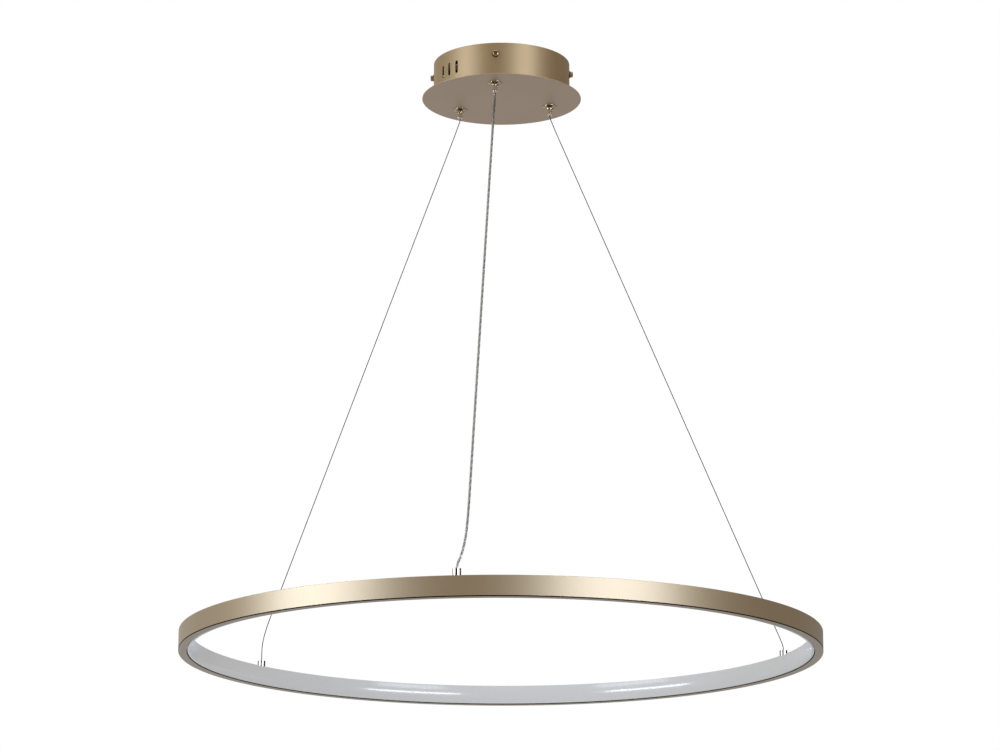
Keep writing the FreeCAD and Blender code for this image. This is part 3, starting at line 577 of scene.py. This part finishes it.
champagne = ((0.56, 0.47, 0.335), (0.59, 0.495, 0.355))
satin_gold = metal("satin_champagne_gold", *champagne, 0.42, 0.47, 1600.0, 0.000003, coat=0.1)
dull_gold = metal("dull_champagne_gold", *champagne, 0.72, 0.78, 1600.0, 0.000003)
# Near-black metal: painted shade for the groove, its lip and the flange ends beside the reveal.
groove_painted_shade = metal("groove_painted_shade", (0.030, 0.026, 0.020), (0.045, 0.038, 0.030), 0.5, 0.6, 1600.0, 0.000006)
near = 0.05
groove_low = ring_low + groove_lip
groove_high = groove_low + groove_height
groove_bottom = ring_outer - groove_depth
inner_wall = ring_outer - channel_wall
inner_top = ring_top - channel_wall
inner_low = ring_low + channel_wall
hook_back = flange_end + hook_wall
channel = lathe(
    [(ring_outer, ring_top), (ring_outer, groove_high), (groove_bottom, groove_high),
     (groove_bottom, groove_low), (ring_outer, groove_low), (ring_outer, ring_low), (flange_end, ring_low),
     (flange_end, ring_low + hook_tip), (hook_back, ring_low + hook_tip), (hook_back, inner_low),
     (inner_wall, inner_low), (inner_wall, inner_top), (hook_back, inner_top),
     (hook_back, ring_top - hook_tip), (flange_end, ring_top - hook_tip), (flange_end, ring_top)],
    ring_steps, {0: 0.45, 1: 0.12, 4: 0.12, 5: 0.2, 6: 0.25, 15: 0.25})
# The groove, its lip and the flange ends take the painted shade, and the top takes the duller gold.
for face in channel.faces:
    centre = face.calc_center_median() / mm
    radius = centre.xy.length
    on_flange_end = radius < flange_end + near and abs(face.normal.z) < 0.1
    in_groove = radius > inner_wall + 2.0 * near and ring_low + near < centre.z < groove_high + 2.0 * near
    on_top = face.normal.z > 0.9 and centre.z > ring_top - near
    face.material_index = 2 if on_top else int(on_flange_end or in_groove)
channel = make_piece(channel, "ring_channel", "ring", "ring_gold", satin_gold, "ring_profile")
channel.data.materials.append(groove_painted_shade)
channel.data.materials.append(dull_gold)

# ---- Diffuser
# One strip of opal plastic snaps into the channel. Its face is slightly domed, its lower shoulder lies a
# little above the flange across a narrow dark reveal, and its two ends meet in a hairline joint.
face_radius = 385.7
shoulder_radius = 388.6
diffuser_wall = 1.4
dome = 1.6
leg_step = 3.2
leg_inner = 390.5
barb_end = 391.1
barb_height = 1.0
joint_azimuth = 95.0
joint_gap = 0.4
reveal_height = 0.9


def gloss_plastic(name, shade, lighter, roughness, grain, depth, coat=0.0):
    """Moulded plastic, with or without a smoother skin."""
    material = grained(name, shade, lighter, {"Scale": 12.0, "Detail": 2.0}, {"Scale": grain, "Detail": 3.0},
                       (0.0, 1.0, roughness * 0.85, roughness * 1.15), {"Strength": 0.4, "Distance": depth})
    shader = material.node_tree.nodes["Principled BSDF"]
    shader.inputs["Coat Weight"].default_value = coat
    shader.inputs["Coat Roughness"].default_value = 0.14
    return material


opal = gloss_plastic("opal_plastic", (0.66, 0.655, 0.645), (0.69, 0.685, 0.675), 0.16, 700.0, 0.0000002,
                     coat=0.6)
strip_low = ring_low + reveal_height
dome_middle = (ring_top + strip_low) / 2.0
half_dome = (ring_top - strip_low) / 2.0
dome_steps = 12
dome_points = [(face_radius - dome * math.cos(math.pi / 2.0 * share), dome_middle - half_dome * share)
               for share in [number * 2.0 / dome_steps - 1.0 for number in range(dome_steps + 1)]]
strip_back = face_radius + diffuser_wall
leg_low = ring_low + leg_step
leg_high = ring_top - leg_step
outline = [(shoulder_radius, ring_top)] + dome_points + [
    (shoulder_radius, strip_low), (shoulder_radius, leg_low), (leg_inner, leg_low),
    (leg_inner, leg_low - barb_height), (barb_end, leg_low), (barb_end, leg_low + barb_height),
    (strip_back, leg_low + barb_height), (strip_back, leg_high - barb_height),
    (barb_end, leg_high - barb_height), (barb_end, leg_high), (leg_inner, leg_high + barb_height),
    (leg_inner, leg_high), (shoulder_radius, leg_high)]
joint_angle = math.degrees(joint_gap / face_radius)
strip = lathe(outline, ring_steps, {0: 0.15, 1: 0.3, dome_steps + 1: 0.3, dome_steps + 2: 0.15},
              sweep=360.0 - joint_angle)
bmesh.ops.holes_fill(strip, edges=[edge for edge in strip.edges if edge.is_boundary], sides=0)
bmesh.ops.recalc_face_normals(strip, faces=strip.faces[:])
bmesh.ops.rotate(strip, cent=(0.0, 0.0, 0.0), verts=strip.verts[:],
                 matrix=Matrix.Rotation(math.radians(joint_azimuth + joint_angle / 2.0 - 90.0), 3, "Z"))
make_piece(strip, "diffuser_strip", "ring", "opal_diffuser", opal, "diffuser")

# ---- Canopy drum
# The drum is a deep-drawn steel cup, open to the ceiling, with a small radius where its wall turns into
# its floor. Upright slots with round ends are pierced in its wall, and it is sprayed in satin gold.
drum_radius = 88.0
drum_wall = 1.0
drum_height = 46.0
drum_steps = 256
slot_length = 17.0
slot_width = 4.5
slot_pitch = 8.9
slot_drop = 25.0
slot_roundness = 0.999
slot_groups = (-45.0, 135.0)
pierced_low = -35.0
pierced_high = -14.0
gripper_radius = 68.0
barrel_hole = 5.15
screw_azimuths = (0.0, 90.0, 180.0, 270.0)
screw_drop = 15.0
screw_hole = 2.3
cut_reach = 3.0
cut_margin = 2.0


def stand(radius, azimuth, level=0.0):
    """The move that takes a shape made at the origin, front to -Y, to its place on a circle."""
    return Matrix.Translation(place(radius, azimuth, level)) @ Matrix.Rotation(math.radians(azimuth), 4, "Z")


def add_copies(whole, part, moves):
    """Adds a copy of a shape to another for each move."""
    mesh = bpy.data.meshes.new("copy")
    part.to_mesh(mesh)
    for move in moves:
        count = len(whole.verts)
        whole.from_mesh(mesh)
        whole.verts.ensure_lookup_table()
        bmesh.ops.transform(whole, matrix=move, verts=whole.verts[count:])
    bpy.data.meshes.remove(mesh)
    return whole


def cut_away(shape, cutters):
    """A shape without what the cutters fill."""
    found = []
    for part in (shape, cutters):
        mesh = bpy.data.meshes.new("cut")
        part.to_mesh(mesh)
        part.free()
        found.append(bpy.data.objects.new("cut", mesh))
        scene.collection.objects.link(found[-1])
    modifier = found[0].modifiers.new("cut", "BOOLEAN")
    modifier.operation = "DIFFERENCE"
    modifier.solver = "EXACT"
    modifier.object = found[1]
    evaluated = found[0].evaluated_get(bpy.context.evaluated_depsgraph_get())
    result = bmesh.new()
    result.from_mesh(evaluated.to_mesh())
    for part in found:
        mesh = part.data
        bpy.data.objects.remove(part)
        bpy.data.meshes.remove(mesh)
    return result


def soften(shape, width, chosen=None):
    """Rounds the sharp edges of a shape, or the chosen ones among them."""
    sharp = [edge for edge in shape.edges if edge.is_manifold and edge.calc_face_angle() > math.radians(40.0)
             and (chosen is None or chosen(edge))]
    bmesh.ops.bevel(shape, geom=sharp, offset=width * mm, offset_type="OFFSET", segments=2, profile=0.5,
                    affect="EDGES", material=-1, clamp_overlap=True)
    return shape


def upright_rod(radius, low, high, steps):
    """A plain rod on the axis, in millimetres, as a cutter or as the start of a piece."""
    shape = bmesh.new()
    bmesh.ops.create_cone(shape, cap_ends=True, segments=steps, radius1=radius * mm, radius2=radius * mm,
                          depth=(high - low) * mm,
                          matrix=Matrix.Translation((0.0, 0.0, (low + high) / 2.0 * mm)))
    return shape


def laid_forwards(shape):
    """Turns an upright shape over, so that its top looks to the front."""
    bmesh.ops.rotate(shape, cent=(0.0, 0.0, 0.0), matrix=Matrix.Rotation(math.pi / 2.0, 3, "X"),
                     verts=shape.verts[:])
    return shape


def box(low, high):
    """A box from its lowest and highest corners, in millimetres."""
    shape = bmesh.new()
    size = [(top - bottom) * mm for bottom, top in zip(low, high)]
    middle = [(top + bottom) / 2.0 * mm for bottom, top in zip(low, high)]
    bmesh.ops.create_cube(shape, size=1.0, matrix=Matrix.Translation(middle) @ Matrix.Diagonal((*size, 1.0)))
    return shape


satin_drum_gold = metal("satin_drum_gold", (0.58, 0.448, 0.272), (0.61, 0.472, 0.292), 0.46, 0.52, 1300.0,
                        0.000008, coat=0.1)
gripper_stands = [stand(gripper_radius, azimuth) for azimuth in hang_azimuths.values()]
screw_stands = [stand(drum_radius, azimuth, -screw_drop) for azimuth in screw_azimuths]
slot_stands = [stand(drum_radius, group + step * slot_pitch, -slot_drop)
               for group in slot_groups for step in (-1.0, 0.0, 1.0)]
drum_inside = drum_radius - drum_wall
drum_floor = drum_wall - drum_height
drum = lathe([(0.0, -drum_height), (drum_radius, -drum_height), (drum_radius, 0.0), (drum_inside, 0.0),
              (drum_inside, drum_floor), (0.0, drum_floor)],
             drum_steps, {1: 1.2, 2: 0.25, 3: 0.25, 4: 0.6}, rounding_steps=4)
half_slot = slot_width / 2.0
slot_cutter = box((-half_slot, -cut_reach, -slot_length / 2.0), (half_slot, cut_reach, slot_length / 2.0))
slot_corners = [edge for edge in slot_cutter.edges
                if abs((edge.verts[0].co - edge.verts[1].co).normalized().y) > 0.9]
bmesh.ops.bevel(slot_cutter, geom=slot_corners, offset=half_slot * slot_roundness * mm, offset_type="OFFSET",
                segments=8, profile=0.5, affect="EDGES", material=-1)
cutters = add_copies(bmesh.new(), slot_cutter, slot_stands)
add_copies(cutters, upright_rod(barrel_hole, -drum_height - cut_margin, cut_margin - drum_height, 32),
           gripper_stands)
add_copies(cutters, laid_forwards(upright_rod(screw_hole, -cut_reach, cut_reach, 24)), screw_stands)
drum = soften(cut_away(drum, cutters), 0.22,
              chosen=lambda edge: pierced_low * mm < edge.verts[0].co.z < pierced_high * mm)
make_piece(drum, "canopy_drum", "canopy", "cup_gold", satin_drum_gold, "canopy_cup", sharp=30.0)

# ---- Canopy disc
# A flat steel disc, wider than the drum, with an eased edge. It is powder coated in the same gold, with
# a finer and duller texture.
disc_radius = 102.7
disc_top = -46.0
disc_low = -47.0
matt_gold = metal("matt_disc_gold", (0.63, 0.485, 0.345), (0.66, 0.51, 0.365), 0.50, 0.60, 1100.0, 0.000006)
disc = lathe([(0.0, disc_low), (disc_radius, disc_low), (disc_radius, disc_top), (0.0, disc_top)], drum_steps,
             {1: 0.3, 2: 0.3})
make_piece(disc, "canopy_disc", "canopy", "plate_gold", matt_gold, "canopy_plate")

# ---- Knob screws
# Four M4 screws with round polished heads and a cross recess pass through the drum's wall into the
# ceiling bracket's ears. Each has a collar, which bears on the drum; the collar is painted near black, a
# painted dark reflection round each head.
polished_gold = metal("polished_pale_gold", (0.50, 0.395, 0.26), (0.54, 0.43, 0.285), 0.05, 0.10, 700.0,
                      0.000002)
# A near-black gold for the collars: a painted dark reflection round each knob's head.
collar_painted_reflection = metal("collar_painted_reflection", (0.16, 0.12, 0.075), (0.20, 0.15, 0.095), 0.20, 0.30, 700.0, 0.000004)
collar_radius = 4.75
collar_height = 1.1
collar_gap = 0.02
knob_radius = 3.9
knob_height = 3.7
knob_neck = 0.5
knob_round = 0.9
knob_crown = 0.25
thread_radius = 2.0
thread_pitch = 0.7
thread_depth = 0.3
thread_end = 0.2
shank_length = 11.0
cross_reach = 1.9
cross_depth = 1.1
cross_margin = 1.0


def thread_outline(radius, low, high, pitch, depth):
    """The ridged outline of a screw thread, from its low end to its high end."""
    points = []
    count = round((high - low) / pitch)
    for number in range(count):
        foot = low + (high - low) * number / count
        points += [(radius - depth, foot), (radius, foot + (high - low) / count / 2.0)]
    return points + [(radius - depth, high)]


def cut_cross(screw, half_width, low, high):
    """A screw with a cross recess in its head, between two levels."""
    for half_x, half_y in ((cross_reach, half_width), (half_width, cross_reach)):
        screw = cut_away(screw, box((-half_x, -half_y, low), (half_x, half_y, high)))
    return screw


knob_top = collar_height + knob_height
knob = lathe([(0.0, -shank_length)]
             + thread_outline(thread_radius, -shank_length, -thread_end, thread_pitch, thread_depth)
             + [(thread_radius, collar_gap), (collar_radius, collar_gap), (collar_radius, collar_height),
                (knob_radius - knob_neck, collar_height), (knob_radius, collar_height + knob_round),
                (knob_radius, knob_top - knob_round), (knob_radius - knob_round, knob_top - knob_crown),
                (0.0, knob_top)], 48)
soften(knob, 0.3, chosen=lambda edge: edge.verts[0].co.z > near * mm)
knob = laid_forwards(cut_cross(knob, 0.42, knob_top - cross_depth, knob_top + cross_margin))
# The collar's faces take the near-black finish: a painted dark reflection round each head.
for face in knob.faces:
    outwards = -face.calc_center_median().y / mm
    face.material_index = int(-2.0 * near < outwards < collar_height + near)
knobs = add_copies(bmesh.new(), knob, screw_stands)
knobs = make_piece(knobs, "knob_screws", "canopy", "polished_gold", polished_gold, "side_screws")
knobs.data.materials.append(collar_painted_reflection)

# ---- Cable grippers
# Each housing is turned from brass: a trumpet-shaped foot below the disc and a threaded barrel above
# it, polished and plated in pale gold. The brim bears on the disc.
brim_radius = 9.0
brim_lip = 0.3
brim_edge = 0.9
mouth_radius = 4.7
mouth_drop = 5.0
nose_radius = 3.2
nose_drop = 12.0
nose_clearance = 0.06
barrel_radius = 5.0
barrel_height = 20.0
barrel_bore = 3.6
barrel_thread_low = 6.5
barrel_thread_end = 0.6
barrel_chamfer = 0.8
barrel_pitch = 0.75
bore_low = 2.0
flare_steps = 10
flare_power = 2.6
flare = [(mouth_radius + (brim_radius - brim_lip - mouth_radius) * share ** flare_power,
          disc_low - mouth_drop + (mouth_drop - brim_edge) * share)
         for share in [number / flare_steps for number in range(flare_steps + 1)]]
sleeve_radius = nose_radius + nose_clearance
barrel_top = disc_low + barrel_height
housing = lathe([(sleeve_radius, disc_low - mouth_drop)] + flare
                + [(brim_radius, disc_low - brim_edge / 2.0), (brim_radius, disc_low),
                   (barrel_radius, disc_low)]
                + thread_outline(barrel_radius, disc_low + barrel_thread_low, barrel_top - barrel_thread_end,
                                 barrel_pitch, thread_depth)
                + [(barrel_radius - barrel_chamfer, barrel_top), (barrel_bore, barrel_top),
                   (barrel_bore, disc_low + bore_low), (sleeve_radius, disc_low + bore_low)],
                64, {0: 0.15, 1: 0.25})
housings = add_copies(bmesh.new(), housing, gripper_stands)
make_piece(housings, "gripper_feet", "canopy", "polished_gold", polished_gold, "gripper_housings")

# ---- Gripper plungers
# The nose that shows below each housing is the end of the gripper's plunger. Pushed up, it frees the
# cord. Inside, it carries the cage of the three balls.
gripped_radii = {"front": 1.5, "right": 0.6, "left": 0.6}
ball_radii = {"front": 1.0, "right": 1.2, "left": 1.2}
ball_clearance = 0.02
ball_level = -42.0
cage_over_ball = 0.38
cage_top = -38.0
cage_radii = {side: gripped_radii[side] + ball_radii[side] + ball_clearance + cage_over_ball
              for side in hang_azimuths}
shoulder_level = -48.2
nose_end = disc_low - nose_drop
bright_gold = metal("bright_pale_gold", (0.84, 0.77, 0.67), (0.88, 0.81, 0.71), 0.05, 0.10, 700.0, 0.000002)
for side, azimuth in hang_azimuths.items():
    bore = gripped_radii[side] + nose_clearance
    cage_radius = cage_radii[side]
    nose = lathe([(bore, nose_end), (nose_radius, nose_end), (nose_radius, shoulder_level),
                  (cage_radius, shoulder_level), (cage_radius, cage_top), (bore, cage_top)],
                 48, {0: 0.2, 1: 0.85, 4: 0.15}, rounding_steps=5)
    half_window = ball_radii[side] + nose_clearance
    window = box((-half_window, -2.0 * cage_radius, ball_level - half_window),
                 (half_window, 0.0, ball_level + half_window))
    for turn in (0.0, 120.0, 240.0):
        nose = cut_away(nose, add_copies(bmesh.new(), window, [stand(0.0, turn)]))
    bmesh.ops.transform(nose, matrix=stand(gripper_radius, azimuth), verts=nose.verts[:])
    make_piece(nose, "gripper_nose_" + side, "plunger_" + side, "polished_gold", bright_gold,
               "gripper_plunger_" + side)

# ---- Ring anchors
# Three turned collars stand on the ring's top flange, where the wires and the cable enter it. Each is
# polished and plated in dark nickel, with rounded edges and a small mouth for its cord. The stud below
# it goes through the flange.
anchor_line = 394.85
anchor_radius = 5.0
anchor_height = 8.6
anchor_bores = {"front": 1.6, "right": 0.7, "left": 0.7}
stud_radius = 2.45
stud_end = 3.7
polished_nickel = metal("polished_dark_nickel", (0.22, 0.213, 0.19), (0.25, 0.242, 0.216), 0.05, 0.09, 700.0,
                        0.000002)
for side, azimuth in hang_azimuths.items():
    bore = anchor_bores[side]
    anchor = lathe([(bore, ring_top - stud_end), (stud_radius, ring_top - stud_end), (stud_radius, ring_top),
                    (anchor_radius, ring_top), (anchor_radius, ring_top + anchor_height),
                    (bore, ring_top + anchor_height)], 64, {3: 0.15, 4: 0.3, 5: 0.25}, rounding_steps=4)
    bmesh.ops.transform(anchor, matrix=stand(anchor_line, azimuth), verts=anchor.verts[:])
    names = ("ring_anchors",) if side == "front" else ()
    make_piece(anchor, "ring_anchor_" + side, "ring", "polished_gold", polished_nickel, *names)

# ---- Ceiling bracket
# A cross of zinc-plated sheet steel, pressed from one blank. Its arms turn down into ears that the knob
# screws enter, its slots take the ceiling screws, and the mains wires come through its middle hole.
zinc_plate = metal("zinc_plate", (0.55, 0.56, 0.58), (0.68, 0.69, 0.71), 0.26, 0.42, 220.0, 0.00002)


def merged_copy(node):
    """A copy of a CAD node's mesh, with its loose triangles merged into whole faces."""
    shape = bmesh.new()
    shape.from_mesh(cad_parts[node].data)
    bmesh.ops.remove_doubles(shape, verts=shape.verts[:], dist=1e-6)
    bmesh.ops.dissolve_limit(shape, angle_limit=math.radians(1.0), verts=shape.verts[:], edges=shape.edges[:])
    return shape


def eased_node(node, width, name, slot, finish):
    """Makes a piece of a CAD node of the canopy, with its edges eased."""
    return make_piece(soften(merged_copy(node), width), name, "canopy", slot, finish, node)


eased_node("ceiling_bracket", 0.15, "bracket_cross", "plated_steel", zinc_plate)

# ---- Lock nuts and plugs of the grippers
# A hexagon nut on each barrel clamps the disc to the cup's floor. A threaded plug with a hole for the
# cord closes the barrel over its spring.
eased_node("gripper_locknuts", 0.35, "gripper_nuts", "plated_steel", zinc_plate)
eased_node("gripper_caps", 0.15, "gripper_plugs", "plated_steel", zinc_plate)

# ---- Gripper springs and balls
# A short spring of bright wire between the plug and the plunger presses the three hard steel balls into
# their cone. It grows shorter as the plunger is pushed up.
spring_steel = metal("spring_steel", (0.50, 0.50, 0.51), (0.60, 0.60, 0.61), 0.16, 0.26, 900.0, 0.000004)
spring_wire = 0.3
spring_turns = 4.0
spring_low = -37.64
spring_high = -30.36
spring_rise = (spring_high - spring_low) * mm
spring_steps = 96


def dress(finish, *nodes):
    """Gives CAD nodes that keep their own shape a finish."""
    for node in nodes:
        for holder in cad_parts[node].material_slots:
            holder.material = finish


for side, azimuth in hang_azimuths.items():
    foot = place(gripper_radius, azimuth, spring_low)
    axis_line = even_steps([foot, foot + Vector((0.0, 0.0, spring_rise))], spring_rise / spring_steps)
    coil = wound_round(axis_line, (cage_radii[side] - spring_wire) * mm, spring_rise / spring_turns, 0.0)
    spring = cord_piece([coil], spring_wire * mm, 2, "gripper_coil_" + side, "spring_steel", spring_steel,
                        "gripper_spring_" + side)
    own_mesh(spring)
    dress(spring_steel, "gripper_balls_" + side)

# ---- Cord ends in the canopy
# Above the grippers, the spare ends of the two wires lie along the cup, and the clear cable turns over
# to the driver's output socket.
wire_tail_route = [(68.0, 0.0, -59.0), (68.0, 0.0, -40.0), (68.0, 0.0, -22.0), (68.0, 0.0, -13.0),
                   (68.0, 19.0, -14.0), (66.0, 36.0, -21.0)]
strands = []
for side in wire_routes:
    strands += wire_strands(route_line([place(radius, hang_azimuths[side], level, sideways)
                                        for radius, sideways, level in wire_tail_route]))
cord_piece(strands, strand_radius, 1, "wire_tail_strands", "wire_steel", strand_steel, "wire_tails",
           sharp=75.0)
output_x = -30.03
socket_level = -33.9
port_end = -6.0
cable_foot = place(gripper_radius, hang_turn, 0.0) / mm
cable_tail_route = [(cable_foot.x, cable_foot.y, level) for level in (-59.0, -40.0, -20.0, -10.0)]
cable_tail_route += [(-13.0, -52.0, -12.0), (-27.0, -32.0, -20.0), (output_x, -22.0, socket_level),
                     (output_x, port_end, socket_level)]
line = route_line([Vector(point) * mm for point in cable_tail_route])
cord_piece(cable_cores(line), core_radius, 3, "cable_tail_cores", "wire_steel", tinned_copper)
cord_piece([even_steps(line, cable_step)], cable_radius, 8, "cable_tail_jacket", "clear_cable", clear_jacket,
           "cable_tail")

# ---- Driver
# The driver's case is moulded in white plastic: a tray on a foam pad, and a lid with a shallow recess.
# Green sockets for the mains leads and the cable look out of its front.
white_shell = gloss_plastic("moulded_white", (0.80, 0.80, 0.78), (0.84, 0.84, 0.82), 0.35, 1200.0, 0.000010)
green_socket = gloss_plastic("green_socket", (0.13, 0.36, 0.19), (0.16, 0.40, 0.22), 0.35, 900.0, 0.000008)
lid_margin = 3.5
lid_sink = 0.4
input_x = 26.03
lead_spread = 3.0
lead_ports = (input_x - lead_spread, input_x + lead_spread)
lead_port_radius = 1.5
cable_port_radius = 2.0
driver_front = -8.0
eased_node("driver_tray", 0.3, "driver_case", "driver_white", white_shell)
lid = merged_copy("driver_lid")
lid_top = max(lid.faces, key=lambda face: face.calc_center_median().z)
bmesh.ops.inset_region(lid, faces=[lid_top], thickness=lid_margin * mm, depth=-lid_sink * mm)
make_piece(soften(lid, 0.35), "driver_cover", "canopy", "driver_white", white_shell, "driver_lid")
ports = bmesh.new()
for x, radius in ((lead_ports[0], lead_port_radius), (lead_ports[1], lead_port_radius),
                  (output_x, cable_port_radius)):
    add_copies(ports, laid_forwards(upright_rod(radius, -cut_reach, cut_reach, 24)),
               [Matrix.Translation(Vector((x, driver_front, socket_level)) * mm)])
sockets = cut_away(soften(merged_copy("driver_terminals"), 0.3), ports)
make_piece(sockets, "driver_sockets", "canopy", "socket_green", green_socket, "driver_terminals")

# ---- Parts on the driver's board, and the pad under its case
# A green board carries a taped transformer, two capacitors in dark sleeves and a ferrite choke. The
# case stands on a pad of grey foam.
for node, *finish in (
        ("driver_board", "green_board", (0.09, 0.30, 0.15), (0.12, 0.36, 0.18), 0.25, 400.0, 0.00001),
        ("driver_transformer", "yellow_tape", (0.78, 0.66, 0.18), (0.84, 0.71, 0.22), 0.40, 300.0, 0.00003),
        ("driver_capacitors", "dark_sleeve", (0.07, 0.08, 0.11), (0.10, 0.11, 0.14), 0.25, 700.0, 0.00001),
        ("driver_choke", "ferrite", (0.15, 0.15, 0.16), (0.19, 0.19, 0.20), 0.60, 1500.0, 0.00002),
        ("driver_pad", "grey_foam", (0.27, 0.27, 0.27), (0.33, 0.33, 0.33), 0.85, 1800.0, 0.00010)):
    dress(gloss_plastic(*finish), node)

# ---- Terminal block
# A three-pole block moulded in natural nylon. Slotted screws at the bottom of its wells clamp the wires,
# and each was left with its slot at another angle.
natural_nylon = gloss_plastic("natural_nylon", (0.84, 0.83, 0.78), (0.88, 0.87, 0.83), 0.40, 800.0, 0.000015)
block_poles = (18.5, 27.0, 35.5)
block_rows = (-38.0, -30.0)
block_screw_radius = 1.9
block_screw_height = 1.0
block_screw_level = -34.5
half_blade = 0.3
blade_reach = 2.5
blade_depth = 0.5
eased_node("terminal_block", 0.3, "connector_block", "nylon_white", natural_nylon)
slotted = cut_away(soften(upright_rod(block_screw_radius, 0.0, block_screw_height, 32), 0.15),
                   box((-blade_reach, -half_blade, block_screw_height - blade_depth),
                       (blade_reach, half_blade, block_screw_height + blade_depth)))
clamp_screws = add_copies(bmesh.new(), slotted, [Matrix.Translation(Vector((x, y, block_screw_level)) * mm)
                                                 @ Matrix.Rotation(0.9 * x + 0.5 * y, 4, "Z")
                                                 for x in block_poles for y in block_rows])
make_piece(clamp_screws, "clamp_screws", "canopy", "plated_steel", zinc_plate, "block_screws")

# ---- Mains leads
# Two copper leads in black insulation go from the terminal block to the driver's input socket. One of
# its pole's two screws clamps each, and the other is for the wire that comes out of the ceiling.
black_lead = gloss_plastic("black_insulation", (0.045, 0.040, 0.037), (0.065, 0.058, 0.054), 0.30, 900.0,
                           0.00001)
lead_radius = 1.1
lead_step = 0.6 * mm
block_back = -26.0
block_port_level = -38.0
lines = []
for pole, port in zip(block_poles, lead_ports):
    route = [(pole, block_back, block_port_level), (pole, -21.5, block_port_level),
             (port, -12.5, socket_level), (port, port_end, socket_level)]
    lines.append(even_steps(route_line([Vector(point) * mm for point in route]), lead_step))
cord_piece(lines, lead_radius * mm, 4, "mains_lead_pair", "lead_black", black_lead, "mains_leads")

# ---- Earth point
# A green and yellow lead goes from the block to a crimped ring lug, which a brass screw with a cross
# recess clamps under the bracket's right arm.
green_lead = gloss_plastic("green_insulation", (0.06, 0.28, 0.07), (0.08, 0.33, 0.09), 0.30, 900.0, 0.00001)
yellow_lead = gloss_plastic("yellow_insulation", (0.80, 0.66, 0.06), (0.84, 0.71, 0.09), 0.30, 900.0, 0.00001)
plain_brass = metal("plain_brass", (0.72, 0.56, 0.30), (0.78, 0.62, 0.34), 0.20, 0.32, 700.0, 0.000005)
stripe_lay = 16.0 * mm
stripe_reach = 0.9 * lead_radius * mm
earth_pole = block_poles[2]
earth_route = [(earth_pole, block_back, block_port_level), (earth_pole, -21.0, block_port_level),
               (47.5, -17.0, -33.0), (63.0, -22.0, -14.0), (62.0, -17.5, -3.2), (62.0, -10.2, -3.2)]
earth_line = even_steps(route_line([Vector(point) * mm for point in earth_route]), lead_step)
stripe = wound_round(earth_line, lead_radius * mm, stripe_lay, 0.0)
earth_lead = round_strands([earth_line], lead_radius * mm, 6)
for face in earth_lead.faces:
    centre = face.calc_center_median()
    face.material_index = int(min((centre - point).length for point in stripe) < stripe_reach)
earth_lead = make_piece(earth_lead, "earth_lead_striped", "canopy", "lead_earth", green_lead, "earth_lead",
                        sharp=60.0, flat_faces=False)
earth_lead.data.materials.append(yellow_lead)
eased_node("earth_lug", 0.12, "earth_ring_lug", "plated_steel", zinc_plate)
earth_head_radius = 3.6
earth_head_low = -4.2
earth_seat = -2.0
earth_spot = Vector((62.0, 0.0, 0.0)) * mm
earth_screw = lathe([(0.0, earth_head_low), (earth_head_radius, earth_head_low),
                     (earth_head_radius, earth_seat)]
                    + thread_outline(thread_radius, earth_seat, 0.0, thread_pitch, thread_depth)
                    + [(0.0, 0.0)], 40, {1: 0.7, 2: 0.15}, rounding_steps=4)
earth_screw = cut_cross(earth_screw, 0.4, earth_head_low - cross_margin, earth_head_low + cross_depth)
bmesh.ops.translate(earth_screw, vec=earth_spot, verts=earth_screw.verts[:])
make_piece(earth_screw, "earth_screw_brass", "canopy", "earth_brass", plain_brass, "earth_screw")

# ---- Light strip and fastenings in the ring
# Behind the diffuser, a white strip with yellow chips is taped to the channel's wall. Nuts hold the
# anchors, crimped stops end the wires and the cable, and two leads part from it to the strip.
dress(gloss_plastic("white_strip", (0.86, 0.86, 0.84), (0.90, 0.90, 0.88), 0.45, 900.0, 0.00001), "led_strip")
dress(gloss_plastic("yellow_phosphor", (0.88, 0.76, 0.30), (0.92, 0.82, 0.38), 0.35, 1500.0, 0.00002),
      "led_chips")
dress(zinc_plate, "anchor_nuts", "wire_stops", "cable_stop")
dress(black_lead, "feed_leads")
